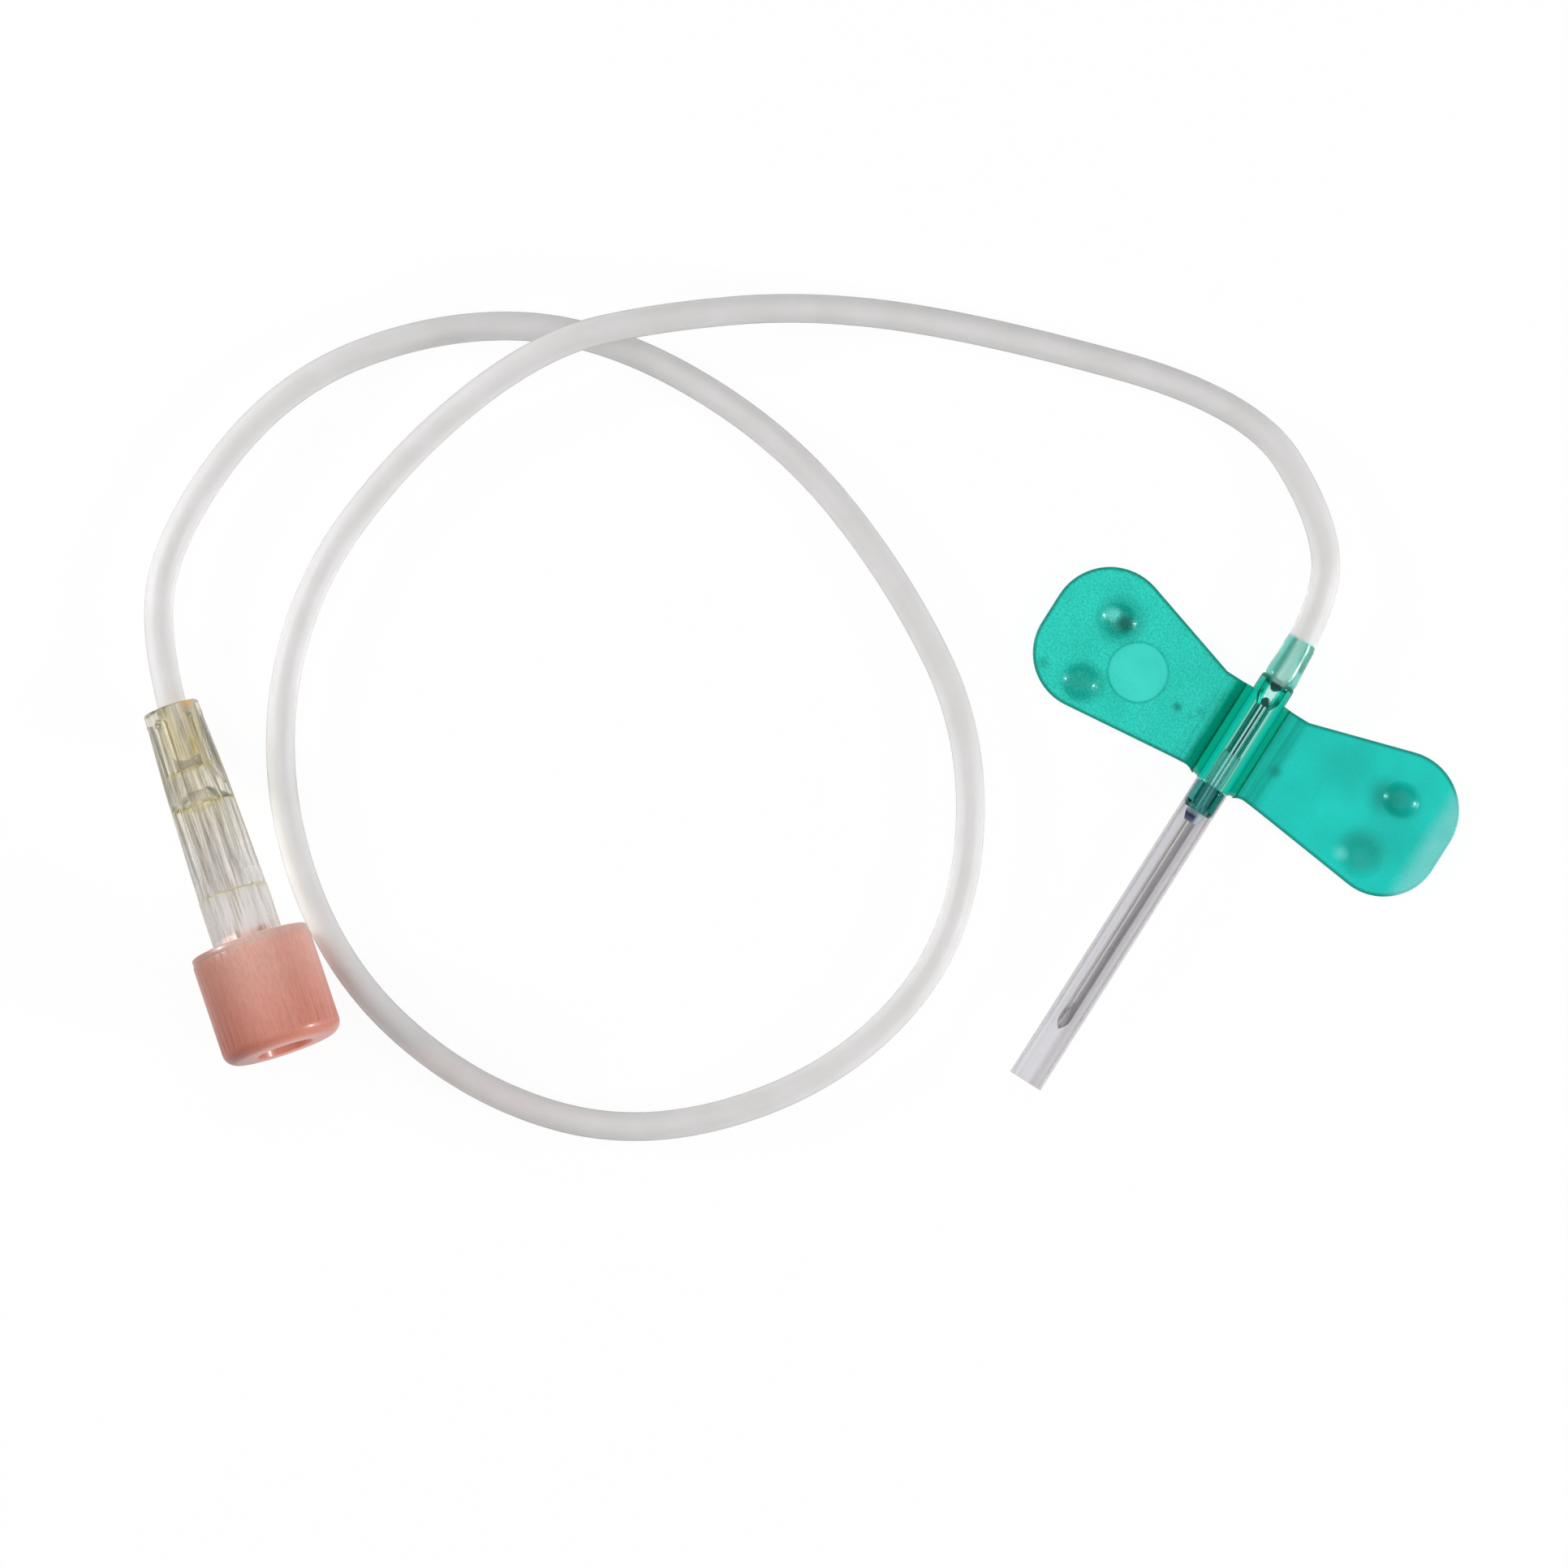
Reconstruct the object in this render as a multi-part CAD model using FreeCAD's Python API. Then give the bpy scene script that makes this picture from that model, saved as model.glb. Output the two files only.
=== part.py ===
import FreeCAD, Part
import math
import os

# A winged infusion set (butterfly needle) lying on a table, in millimetres.
# The hub's axis runs along Y with the needle pointing towards -Y, the wings spread along X
# and everything rests on z = 0. The origin is the middle of the footprint of the hub, wings,
# needle and sheath. Lengths along the hub are measured from the wings' mid-line, plus to the rear.
Vector = FreeCAD.Vector

# Wings
wing_span = 34.6
wing_thickness = 0.6
wing_edge_round = 0.15
wing_rear_corner_y = 7.3          # where the rear edge would meet the outer side, unrounded
wing_front_corner_y = -6.0        # where the front edge would meet the outer side, unrounded
wing_rear_corner_radius = 4.5
wing_front_corner_radius = 4.3
neck_rear_y = 3.15                # the narrow neck beside the hub
neck_front_y = -4.35
neck_rear_end_x = 3.6             # where the wing starts to widen behind the neck
neck_front_end_x = 3.9
neck_front_drop = 0.15            # how far the front edge falls on its way to that place
neck_round = 2.0
hinge_x = 2.6                     # the fold line beside the hub
hinge_gap = 0.1                   # room left for the fold between the hub's flange and the wing
stud_x = 12.5                     # a stud on one wing enters a socket in the other when folded
stud_rear_y = 2.0
stud_front_y = -3.4
stud_diameter = 2.75
stud_height = 0.6
socket_clearance = 0.06
socket_depth_in_wing = 0.42
disc_x = 9.2                      # a shallow round recess in the middle of each wing
disc_y = -0.5
disc_diameter = 4.4
disc_depth = 0.1

# Hub
hub_axis_height = 1.45
barrel_diameter = 2.76
barrel_rear = 4.6
barrel_front = -4.75
barrel_rear_round = 0.12
shoulder_half_width = 2.0         # sloping shoulders that join the barrel to the flange
nose_front = -6.95
nipple_rear = 8.0
nipple_root_diameter = 1.82
nipple_tip_diameter = 1.44
nipple_bore = 1.0
cavity_diameter = 1.3             # hollow behind the needle's blunt end
cavity_rear = 4.4
cavity_front = 3.0
cone_front = 2.3
glue_pocket_diameter = 1.35
glue_pocket_rear = -1.75
seat_gap = 0.01                   # glue line between parts that are bonded together

# Needle
needle_diameter = 0.8
needle_bore = 0.54
needle_rear = 2.45
needle_exposed = 19.25            # how far the point stands out of the nose
bevel_length = 2.3
bevel_side_turn = 32.0            # the two side grinds of the point, turned about the needle
bevel_side_length = 1.5
glue_meniscus_length = 0.65
glue_meniscus_edge = 0.08         # thickness of the cone of glue where it ends

# Sheath
sheath_diameter = 2.67
sheath_bore = 1.9
sheath_beyond_point = 4.6
sheath_butt_gap = 0.05
sheath_clearance = 0.02           # between the hub's nose and the sheath's bore, on the radius

# Tubing
tube_diameter = 2.15
tube_bore = 1.3
flare_root_diameter = 2.67        # stretched over the nipple's root
flare_waist_diameter = 2.42
flare_waist_rear = 6.4
flare_taper_front = 0.5           # the flare tapers away from here before the nipple's end
flare_taper_rear = 0.3            # to here beyond it
crossing_clearance = 3.0          # between the two strands where the tube passes over itself

# Luer connector, measured along its own axis from the tube end
connector_length = 24.4
connector_tube_end_diameter = 4.2
connector_shoulder_at = 6.0       # the outline widens faster up to here
connector_shoulder_diameter = 4.85
connector_body_diameter = 5.3
tube_socket_depth = 4.9
socket_clearance_on_tube = 0.02
passage_diameter = 1.3            # narrow passage past the tube's end
passage_end = 6.7
chamber_step = 7.7                # the wide chamber starts here
chamber_diameter = 3.3
luer_mouth_diameter = 4.3
luer_taper = 0.06                 # diameter lost for each millimetre of depth
luer_depth = 9.7
flute_count = 6                   # arch-topped flutes round the outside, with ribs between them
flute_width = 1.05
flute_start = 0.8                 # top of the arch
rib_end = 14.7
core_socket_diameter = 3.1
core_chamber_diameter = 4.3
core_taper_start = 0.3            # beyond the tube's end the core starts to widen
lug_diameter = 7.7
lug_width = 2.4
lug_thickness = 1.1

# Cap, on the same axis
cap_rim_at = 18.6
cap_diameter = 9.13
cap_length = 8.4
cap_bore = 8.0
cap_floor_gap = 0.35              # from the connector's mouth to the cap's floor
cap_lip_height = 0.55
cap_lip_step = 0.07
cap_end_round = 1.0
cap_recess_diameter = 4.34
cap_recess_depth = 1.0
plug_length = 6.6
plug_clearance = 0.02
plug_core_diameter = 2.0
plug_tip_wall = 0.9
plug_tip_round = 0.2
grip_count = 40
grip_groove_radius = 0.22
grip_groove_depth = 0.12
grip_end = 0.6                    # the grooves stop this far from the closed end

# Places that follow from the sizes above
needle_tip = nose_front - needle_exposed
sheath_front = needle_tip - sheath_beyond_point
mid_y = -(sheath_front + nipple_rear) / 2
tube_radius = tube_diameter / 2
flange_edge_x = hinge_x - wing_thickness / 2 - hinge_gap
hub_centre = Vector(0, mid_y, hub_axis_height)
nose_radius = sheath_bore / 2 - sheath_clearance
overrun = 1.0                     # how far a cutting shape runs past what it cuts
most_share = 0.48                 # of an outline's edge that one rounded corner may take up

# The connector lies on its tube end and on the cap's rim, so its axis is tilted.
connector_heading = -38.6
connector_face_xy = (-68.75, -30.1)
cap_lip_at = cap_rim_at + cap_lip_height
rim_rise = (cap_diameter - connector_tube_end_diameter) / 2 - cap_lip_step
lip_rise = (cap_diameter - connector_tube_end_diameter) / 2
tilt = math.degrees(max(math.atan2(rim_rise, cap_rim_at), math.atan2(lip_rise, cap_lip_at)))
connector_axis = Vector(
    math.cos(math.radians(connector_heading)) * math.cos(math.radians(tilt)),
    math.sin(math.radians(connector_heading)) * math.cos(math.radians(tilt)),
    math.sin(math.radians(tilt)),
)
connector_face_height = connector_tube_end_diameter / 2 * math.cos(math.radians(tilt))
connector_face = Vector(connector_face_xy[0], connector_face_xy[1], connector_face_height)

# The tube's route: x, y and the height of its underside over the table, chosen by hand.
# It leaves the hub, swings left, passes over its own later turn and winds round to the connector.
hump = tube_diameter + crossing_clearance
tube_route = [
    (-3.5, 27.9, 0.0),
    (-12.9, 32.5, 0.0),
    (-32.7, 26.4, 0.0),
    (-44.4, 21.1, 1.4),
    (-53.4, 14.2, hump),
    (-59.9, 7.7, hump),
    (-64.3, -4.4, 1.2),
    (-65.3, -17.8, 0.0),
    (-59.7, -30.5, 0.0),
    (-48.4, -39.9, 0.0),
    (-34.6, -42.3, 0.0),
    (-21.8, -38.5, 0.0),
    (-12.0, -26.9, 0.0),
    (-9.6, -13.4, 0.0),
    (-16.5, 0.0, 0.0),
    (-28.3, 7.3, 0.0),
    (-41.6, 11.7, 0.0),
    (-56.8, 11.0, 0.0),
    (-67.2, 5.0, 0.0),
    (-74.9, -5.4, 0.0),
    (-76.0, -19.6, 0.0),
]
tube_straight_out = 6.6           # straight over the nipple and a little beyond
tube_straight_in = 4.0            # straight before the connector
arc_share = 0.45                  # how much of its shorter run each arc takes up


def corner(before, point, after, tangent):
    """Start, middle and end of the arc that rounds one corner, and its radius."""
    back = (before - point).normalize()
    on = (after - point).normalize()
    half_turn = (math.pi - back.getAngle(on)) / 2
    radius = tangent / math.tan(half_turn)
    inward = (back + on).normalize()
    middle = point + inward * (radius / math.cos(half_turn) - radius)
    return point + back * tangent, middle, point + on * tangent, radius


def outline(points):
    """A closed wire through (x, y) corners in the XY plane; a third number rounds a corner."""
    places = [Vector(p[0], p[1], 0) for p in points]
    count = len(points)
    entry = []
    leave = []
    edges = []
    for i, spec in enumerate(points):
        before = places[i - 1]
        after = places[(i + 1) % count]
        if len(spec) < 3:
            entry.append(places[i])
            leave.append(places[i])
            continue
        back = (before - places[i]).normalize()
        on = (after - places[i]).normalize()
        half_turn = (math.pi - back.getAngle(on)) / 2
        room = most_share * min((before - places[i]).Length, (after - places[i]).Length)
        tangent = min(spec[2] * math.tan(half_turn), room)
        start, middle, end, _ = corner(before, places[i], after, tangent)
        edges.append(Part.Arc(start, middle, end).toShape())
        entry.append(start)
        leave.append(end)
    for i in range(count):
        edges.append(Part.LineSegment(leave[i], entry[(i + 1) % count]).toShape())
    return Part.Wire(Part.__sortEdges__(edges))


def plate(points, bottom, thickness):
    """A flat plate with the given outline."""
    face = Part.Face(outline(points))
    face.translate(Vector(0, 0, bottom))
    return face.extrude(Vector(0, 0, thickness))


def turned(points):
    """A solid turned about Z from (distance along Z, radius) corners."""
    face = Part.Face(outline([(p[1], p[0]) + tuple(p[2:]) for p in points]))
    face.rotate(Vector(0, 0, 0), Vector(1, 0, 0), 90)
    return face.revolve(Vector(0, 0, 0), Vector(0, 0, 1), 360)


def along_hub(shape):
    """Place a shape turned about Z on the hub's axis, Z becoming +Y."""
    placed = shape.copy()
    turn = FreeCAD.Rotation(Vector(-1, 0, 0), Vector(0, 0, 1), Vector(0, 1, 0), "ZXY")
    placed.Placement = FreeCAD.Placement(hub_centre, turn)
    return placed


def along_connector(shape):
    """Place a shape turned about Z on the connector's axis."""
    side = Vector(0, 0, 1).cross(connector_axis).normalize()
    upward = connector_axis.cross(side)
    placed = shape.copy()
    turn = FreeCAD.Rotation(side, upward, connector_axis, "ZXY")
    placed.Placement = FreeCAD.Placement(connector_face, turn)
    return placed


def wing_outline():
    """Outline of the wing on +X, from the fold line outwards."""
    outer = wing_span / 2
    return [
        (hinge_x, neck_rear_y),
        (hinge_x, neck_front_y),
        (neck_front_end_x, neck_front_y - neck_front_drop, neck_round),
        (outer, wing_front_corner_y, wing_front_corner_radius),
        (outer, wing_rear_corner_y, wing_rear_corner_radius),
        (neck_rear_end_x, neck_rear_y, neck_round / 2),
    ]


def dome(base_diameter, height):
    """A spherical cap standing on z = 0."""
    base = base_diameter / 2
    ball = (base * base + height * height) / (2 * height)
    cap = Part.makeSphere(ball, Vector(0, 0, height - ball))
    keep = Part.makeBox(4 * ball, 4 * ball, 4 * ball, Vector(-2 * ball, -2 * ball, 0))
    return cap.common(keep)


def wing(stud_y, socket_y):
    """The wing on +X: a thin plate with a stud, a socket and a recessed disc."""
    body = plate(wing_outline(), 0, wing_thickness)
    rims = []
    for edge in body.Edges:
        box = edge.BoundBox
        flat = box.ZLength < 1e-6
        at_fold = box.XMax < hinge_x + 1e-6
        if flat and not at_fold:
            rims.append(edge)
    body = body.makeFillet(wing_edge_round, rims)
    neck = neck_rear_y - neck_front_y
    root = Part.makeCylinder(
        wing_thickness / 2, neck, Vector(hinge_x, neck_front_y, wing_thickness / 2), Vector(0, 1, 0)
    )
    body = body.fuse(root)
    stud = dome(stud_diameter, stud_height)
    stud.translate(Vector(stud_x, stud_y, wing_thickness))
    base = Part.makeCylinder(
        stud_diameter / 2, wing_thickness / 2, Vector(stud_x, stud_y, wing_thickness / 2)
    )
    body = body.fuse(stud.fuse(base))
    socket = dome(stud_diameter + 2 * socket_clearance, socket_depth_in_wing)
    socket.rotate(Vector(0, 0, 0), Vector(1, 0, 0), 180)
    socket.translate(Vector(stud_x, socket_y, wing_thickness))
    body = body.cut(socket)
    recess = Part.makeCylinder(
        disc_diameter / 2, disc_depth + overrun, Vector(disc_x, disc_y, wing_thickness - disc_depth)
    )
    body = body.cut(recess).removeSplitter()
    body.translate(Vector(0, mid_y, 0))
    return body


def wing_right():
    return wing(stud_rear_y, stud_front_y)


def wing_left():
    body = wing(stud_front_y, stud_rear_y)
    return body.mirror(Vector(0, 0, 0), Vector(1, 0, 0))


def wing_hub():
    """The moulded core: barrel, flange at the wings' roots, nose for the sheath and nipple."""
    barrel = turned([
        (barrel_front, 0),
        (barrel_front, barrel_diameter / 2),
        (barrel_rear, barrel_diameter / 2, barrel_rear_round),
        (barrel_rear, 0),
    ])
    nose = turned([(nose_front, 0), (nose_front, nose_radius), (0, nose_radius), (0, 0)])
    nipple = turned([
        (0, 0),
        (0, nipple_root_diameter / 2),
        (barrel_rear, nipple_root_diameter / 2),
        (nipple_rear, nipple_tip_diameter / 2),
        (nipple_rear, 0),
    ])
    body = along_hub(barrel.fuse([nose, nipple]))
    flange = plate(
        [
            (-flange_edge_x, neck_rear_y),
            (-flange_edge_x, neck_front_y),
            (-barrel_diameter / 2, barrel_front),
            (barrel_diameter / 2, barrel_front),
            (flange_edge_x, neck_front_y),
            (flange_edge_x, neck_rear_y),
        ],
        0,
        wing_thickness,
    )
    shoulder_wire = Part.makePolygon([
        Vector(-shoulder_half_width, neck_front_y, wing_thickness / 2),
        Vector(shoulder_half_width, neck_front_y, wing_thickness / 2),
        Vector(shoulder_half_width, neck_front_y, wing_thickness),
        Vector(barrel_diameter / 2 - seat_gap, neck_front_y, hub_axis_height),
        Vector(-barrel_diameter / 2 + seat_gap, neck_front_y, hub_axis_height),
        Vector(-shoulder_half_width, neck_front_y, wing_thickness),
        Vector(-shoulder_half_width, neck_front_y, wing_thickness / 2),
    ])
    shoulders = Part.Face(shoulder_wire).extrude(Vector(0, neck_rear_y - neck_front_y, 0))
    below = flange.fuse(shoulders)
    below.translate(Vector(0, mid_y, 0))
    body = body.fuse(below)
    bores = turned([
        (nose_front - overrun, 0),
        (nose_front - overrun, glue_pocket_diameter / 2),
        (glue_pocket_rear, glue_pocket_diameter / 2),
        (glue_pocket_rear, needle_diameter / 2 + seat_gap),
        (cone_front, needle_diameter / 2 + seat_gap),
        (cavity_front, cavity_diameter / 2),
        (cavity_rear, cavity_diameter / 2),
        (cavity_rear, nipple_bore / 2),
        (nipple_rear + overrun, nipple_bore / 2),
        (nipple_rear + overrun, 0),
    ])
    return body.cut(along_hub(bores)).removeSplitter()


def half_space(point, normal, size):
    """A big box on the far side of a plane, for grinding a flat."""
    block = Part.makeBox(size, size, size, Vector(-size / 2, -size / 2, 0))
    block.Placement = FreeCAD.Placement(point, FreeCAD.Rotation(Vector(0, 0, 1), normal))
    return block


def needle():
    """Hollow steel needle with a three-facet point, its opening facing up."""
    radius = needle_diameter / 2
    grind_size = 10 * needle_diameter
    length = needle_rear - needle_tip
    start = Vector(0, mid_y + needle_tip, hub_axis_height)
    body = Part.makeCylinder(radius, length, start, Vector(0, 1, 0))
    body = body.cut(Part.makeCylinder(needle_bore / 2, length, start, Vector(0, 1, 0)))
    tip = start - Vector(0, 0, radius)
    slope = math.atan2(needle_diameter, bevel_length)
    normal = Vector(0, -math.sin(slope), math.cos(slope))
    body = body.cut(half_space(tip, normal, grind_size))
    side_slope = math.atan2(needle_diameter, bevel_side_length)
    for turn in (-bevel_side_turn, bevel_side_turn):
        side_normal = Vector(0, -math.sin(side_slope), math.cos(side_slope))
        grind = half_space(tip, side_normal, grind_size)
        grind.rotate(tip, Vector(0, 1, 0), turn)
        body = body.cut(grind)
    return body


def needle_adhesive():
    """Cured glue that fills the pocket round the needle and stands out of it in a cone."""
    inner = needle_diameter / 2 + seat_gap
    outer = glue_pocket_diameter / 2 - seat_gap
    return along_hub(turned([
        (glue_pocket_rear - seat_gap, inner),
        (glue_pocket_rear - seat_gap, outer),
        (nose_front, outer),
        (nose_front - glue_meniscus_length, inner + glue_meniscus_edge),
        (nose_front - glue_meniscus_length, inner),
    ]))


def needle_sheath():
    rear = barrel_front - sheath_butt_gap
    return along_hub(turned([
        (sheath_front, sheath_bore / 2),
        (sheath_front, sheath_diameter / 2),
        (rear, sheath_diameter / 2),
        (rear, sheath_bore / 2),
    ]))


def tube_points():
    """The whole route as points on the tube's centre line."""
    start = hub_centre + Vector(0, barrel_rear, 0)
    points = [start, start + Vector(0, tube_straight_out, 0)]
    for x, y, lift in tube_route:
        points.append(Vector(x, y, lift + tube_radius))
    points.append(connector_face - connector_axis * tube_straight_in)
    points.append(connector_face + connector_axis * (tube_socket_depth - seat_gap))
    return points


def tube_path(points):
    """Straight runs joined by tangent arcs, each arc as large as its two runs allow."""
    edges = []
    radii = []
    last = points[0]
    for before, point, after in zip(points[:-2], points[1:-1], points[2:]):
        tangent = arc_share * min((before - point).Length, (after - point).Length)
        start, middle, end, radius = corner(before, point, after, tangent)
        edges.append(Part.LineSegment(last, start).toShape())
        edges.append(Part.Arc(start, middle, end).toShape())
        radii.append(radius)
        last = end
    edges.append(Part.LineSegment(last, points[-1]).toShape())
    return Part.Wire(edges), radii


def swept(path, points, diameter):
    """A round bar along the path."""
    ring = Part.Wire(Part.makeCircle(diameter / 2, points[0], points[1] - points[0]))
    return path.makePipeShell([ring], True, False)


def tubing():
    """Soft tube, stretched over the nipple at one end and glued in the connector at the other."""
    points = tube_points()
    path, radii = tube_path(points)
    bar = swept(path, points, tube_diameter)
    hole = swept(path, points, tube_bore)
    expected = math.pi * tube_radius ** 2 * path.Length
    print("tube length", round(path.Length, 2), "mm")
    print("tube arc radii", [round(r, 1) for r in radii])
    print("tube bar volume", round(bar.Volume, 2), "section times length", round(expected, 2))
    flare = along_hub(turned([
        (barrel_rear, 0),
        (barrel_rear, flare_root_diameter / 2),
        (flare_waist_rear, flare_waist_diameter / 2),
        (nipple_rear - flare_taper_front, flare_waist_diameter / 2),
        (nipple_rear + flare_taper_rear, tube_radius),
        (nipple_rear + flare_taper_rear, 0),
    ]))
    nipple_room = along_hub(turned([
        (barrel_rear - overrun, 0),
        (barrel_rear - overrun, nipple_root_diameter / 2 + seat_gap),
        (barrel_rear, nipple_root_diameter / 2 + seat_gap),
        (nipple_rear, nipple_tip_diameter / 2 + seat_gap),
        (nipple_rear, 0),
    ]))
    body = bar.fuse(flare)
    return body.cut(nipple_room).cut(hole)


def connector_envelope():
    """Outer form of the connector without its flutes and lugs."""
    return turned([
        (0, 0),
        (0, connector_tube_end_diameter / 2),
        (connector_shoulder_at, connector_shoulder_diameter / 2),
        (rib_end, connector_body_diameter / 2),
        (connector_length, connector_body_diameter / 2),
        (connector_length, 0),
    ])


def flute(turn):
    """What one flute takes away: a slot with a round top, cut inwards from outside."""
    half = flute_width / 2
    arch_at = flute_start + half
    inner = core_socket_diameter / 4
    reach = connector_body_diameter / 2 + overrun - inner
    slot = Part.makeBox(reach, flute_width, rib_end - arch_at, Vector(inner, -half, arch_at))
    arch = Part.makeCylinder(half, reach, Vector(inner, 0, arch_at), Vector(1, 0, 0))
    cut = slot.fuse(arch).removeSplitter()
    cut.rotate(Vector(0, 0, 0), Vector(0, 0, 1), turn)
    return cut


def luer_radius(at, clearance):
    """Radius of the luer taper at a distance along the axis."""
    return luer_mouth_diameter / 2 - luer_taper / 2 * (connector_length - at) - clearance


def luer_connector():
    """Clear female luer hub: stepped core, fluted taper, smooth mouth with lugs."""
    core = turned([
        (0, 0),
        (0, core_socket_diameter / 2),
        (tube_socket_depth + core_taper_start, core_socket_diameter / 2),
        (chamber_step, core_chamber_diameter / 2),
        (rib_end, core_chamber_diameter / 2),
        (rib_end, 0),
    ])
    flutes = []
    for i in range(flute_count):
        flutes.append(flute(90 + 360 / flute_count * (i + 0.5)))
    ribbed = connector_envelope().cut(Part.makeCompound(flutes))
    lug_round = turned([
        (connector_length - lug_thickness, 0),
        (connector_length - lug_thickness, lug_diameter / 2),
        (connector_length, lug_diameter / 2),
        (connector_length, 0),
    ])
    strip_length = lug_diameter + 2 * overrun
    lug_strip = Part.makeBox(
        strip_length, lug_width, connector_length, Vector(-strip_length / 2, -lug_width / 2, 0)
    )
    body = ribbed.fuse([core, lug_round.common(lug_strip)])
    inside = turned([
        (-overrun, 0),
        (-overrun, tube_radius + socket_clearance_on_tube),
        (tube_socket_depth, tube_radius + socket_clearance_on_tube),
        (tube_socket_depth, passage_diameter / 2),
        (passage_end, passage_diameter / 2),
        (chamber_step, chamber_diameter / 2),
        (connector_length - luer_depth, chamber_diameter / 2),
        (connector_length - luer_depth, luer_radius(connector_length - luer_depth, 0)),
        (connector_length, luer_radius(connector_length, 0)),
        (connector_length + overrun, luer_radius(connector_length, 0)),
        (connector_length + overrun, 0),
    ])
    return along_connector(body.cut(inside).removeSplitter())


def luer_cap():
    """Cap with a gripped skirt round the connector's mouth and a hollow plug inside it."""
    end = cap_rim_at + cap_length
    floor = connector_length + cap_floor_gap
    outer = cap_diameter / 2
    plug_tip = connector_length - plug_length
    body = turned([
        (cap_rim_at, 0),
        (cap_rim_at, outer - cap_lip_step),
        (cap_lip_at, outer - cap_lip_step),
        (cap_lip_at, outer),
        (end, outer, cap_end_round),
        (end, 0),
    ])
    grooves = []
    for i in range(grip_count):
        angle = 2 * math.pi / grip_count * (i + 0.5)
        reach = outer + grip_groove_radius - grip_groove_depth
        grooves.append(Part.makeCylinder(
            grip_groove_radius,
            cap_length - cap_lip_height - grip_end,
            Vector(reach * math.cos(angle), reach * math.sin(angle), cap_lip_at),
        ))
    body = body.cut(Part.makeCompound(grooves))
    hollow = Part.makeCylinder(
        cap_bore / 2, floor - cap_rim_at + overrun, Vector(0, 0, cap_rim_at - overrun)
    )
    plug = turned([
        (plug_tip, 0),
        (plug_tip, luer_radius(plug_tip, plug_clearance), plug_tip_round),
        (connector_length, luer_radius(connector_length, plug_clearance)),
        (floor + seat_gap, luer_radius(connector_length, plug_clearance)),
        (floor + seat_gap, 0),
    ])
    body = body.cut(hollow).fuse(plug)
    recess = Part.makeCylinder(
        cap_recess_diameter / 2, cap_recess_depth + overrun, Vector(0, 0, end - cap_recess_depth)
    )
    core = Part.makeCylinder(
        plug_core_diameter / 2, end - plug_tip, Vector(0, 0, plug_tip + plug_tip_wall)
    )
    return along_connector(body.cut(recess.fuse(core)))


def write(name, shape):
    solids = shape.Solids
    if len(solids) == 1:
        shape = solids[0]
    print(name, "solids", len(solids), "valid", shape.isValid(), "volume", round(shape.Volume, 3))
    shape.exportStep(os.path.join("parts", name + ".step"))


os.makedirs("parts", exist_ok=True)
write("wing_hub", wing_hub())
write("wing_left", wing_left())
write("wing_right", wing_right())
write("needle", needle())
write("needle_adhesive", needle_adhesive())
write("needle_sheath", needle_sheath())
write("tubing", tubing())
write("luer_connector", luer_connector())
write("luer_cap", luer_cap())
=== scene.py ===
import bmesh
import bpy
import math
import numpy as np
from mathutils import Matrix, Vector


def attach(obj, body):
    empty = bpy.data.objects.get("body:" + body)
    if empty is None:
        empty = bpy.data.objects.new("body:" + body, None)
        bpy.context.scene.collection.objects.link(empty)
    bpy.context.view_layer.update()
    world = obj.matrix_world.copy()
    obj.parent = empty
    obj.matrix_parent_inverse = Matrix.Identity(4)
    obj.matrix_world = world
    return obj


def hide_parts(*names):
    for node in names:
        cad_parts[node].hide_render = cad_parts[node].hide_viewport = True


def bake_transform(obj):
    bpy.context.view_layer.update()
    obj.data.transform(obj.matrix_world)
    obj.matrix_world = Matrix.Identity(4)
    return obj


# The looks of the winged infusion set. Sizes are in millimetres and are turned into metres
# where a mesh is made. Lengths along the hub are measured from the wings' mid-line, plus to
# the rear, and lengths along the connector from its tube end, as in the part's source.
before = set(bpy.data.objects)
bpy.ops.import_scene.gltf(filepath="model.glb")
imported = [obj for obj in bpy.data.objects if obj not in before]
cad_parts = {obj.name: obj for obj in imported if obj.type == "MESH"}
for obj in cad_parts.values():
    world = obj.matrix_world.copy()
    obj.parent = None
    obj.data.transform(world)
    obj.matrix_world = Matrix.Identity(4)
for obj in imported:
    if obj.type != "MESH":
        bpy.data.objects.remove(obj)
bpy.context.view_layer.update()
MM = 0.001

# Hub and wings
mid_y = 11.4                       # the wings' mid-line in the frame
hub_axis_height = 1.45
barrel_radius = 1.38
barrel_rear = 4.6
barrel_front = -4.75
shoulder_half_width = 2.0
shoulder_rear = 3.15
shoulder_front = -4.35
nipple_rear = 8.0
nipple_root_radius = 0.91
nipple_end_radius = 0.72
nipple_bore_radius = 0.5
nose_front = -6.95
nose_radius = 0.93
glue_pocket_radius = 0.48
glue_pocket_rear = -1.75
needle_seat_radius = 0.41
cavity_radius = 0.65
cavity_front = 2.3
cavity_wide_from = 3.0
cavity_rear = 4.4
sheath_rear = -4.8
sheath_front = -30.8
sheath_radius = 1.335
sheath_bore_radius = 0.95
wing_outer_x = 17.3
wing_root_x = 1.75                 # inside the hub's shoulder
wing_thickness = 0.6
wing_edge_round = 0.15
wing_rear_corner = (17.3, 7.3, 4.5)
wing_front_corner = (17.3, -6.0, 4.3)
wing_rear_neck = (3.6, 3.15, 1.0)
wing_front_neck = (3.9, -4.5, 2.0)
wing_front_root_y = -4.35
wing_root_fillet = 0.33            # how far the front edge drops beside the barrel
stud_x = 12.5
stud_radius = 1.375
stud_height = 0.59
stud_rear_y = 2.0
stud_front_y = -3.4
disc_x = 9.2
disc_y = -0.5
disc_radius = 2.2

# Tubing
tube_radius = 1.075
tube_bore_radius = 0.65
connector_seat = 4.89              # how deep the tube stands in the connector

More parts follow.
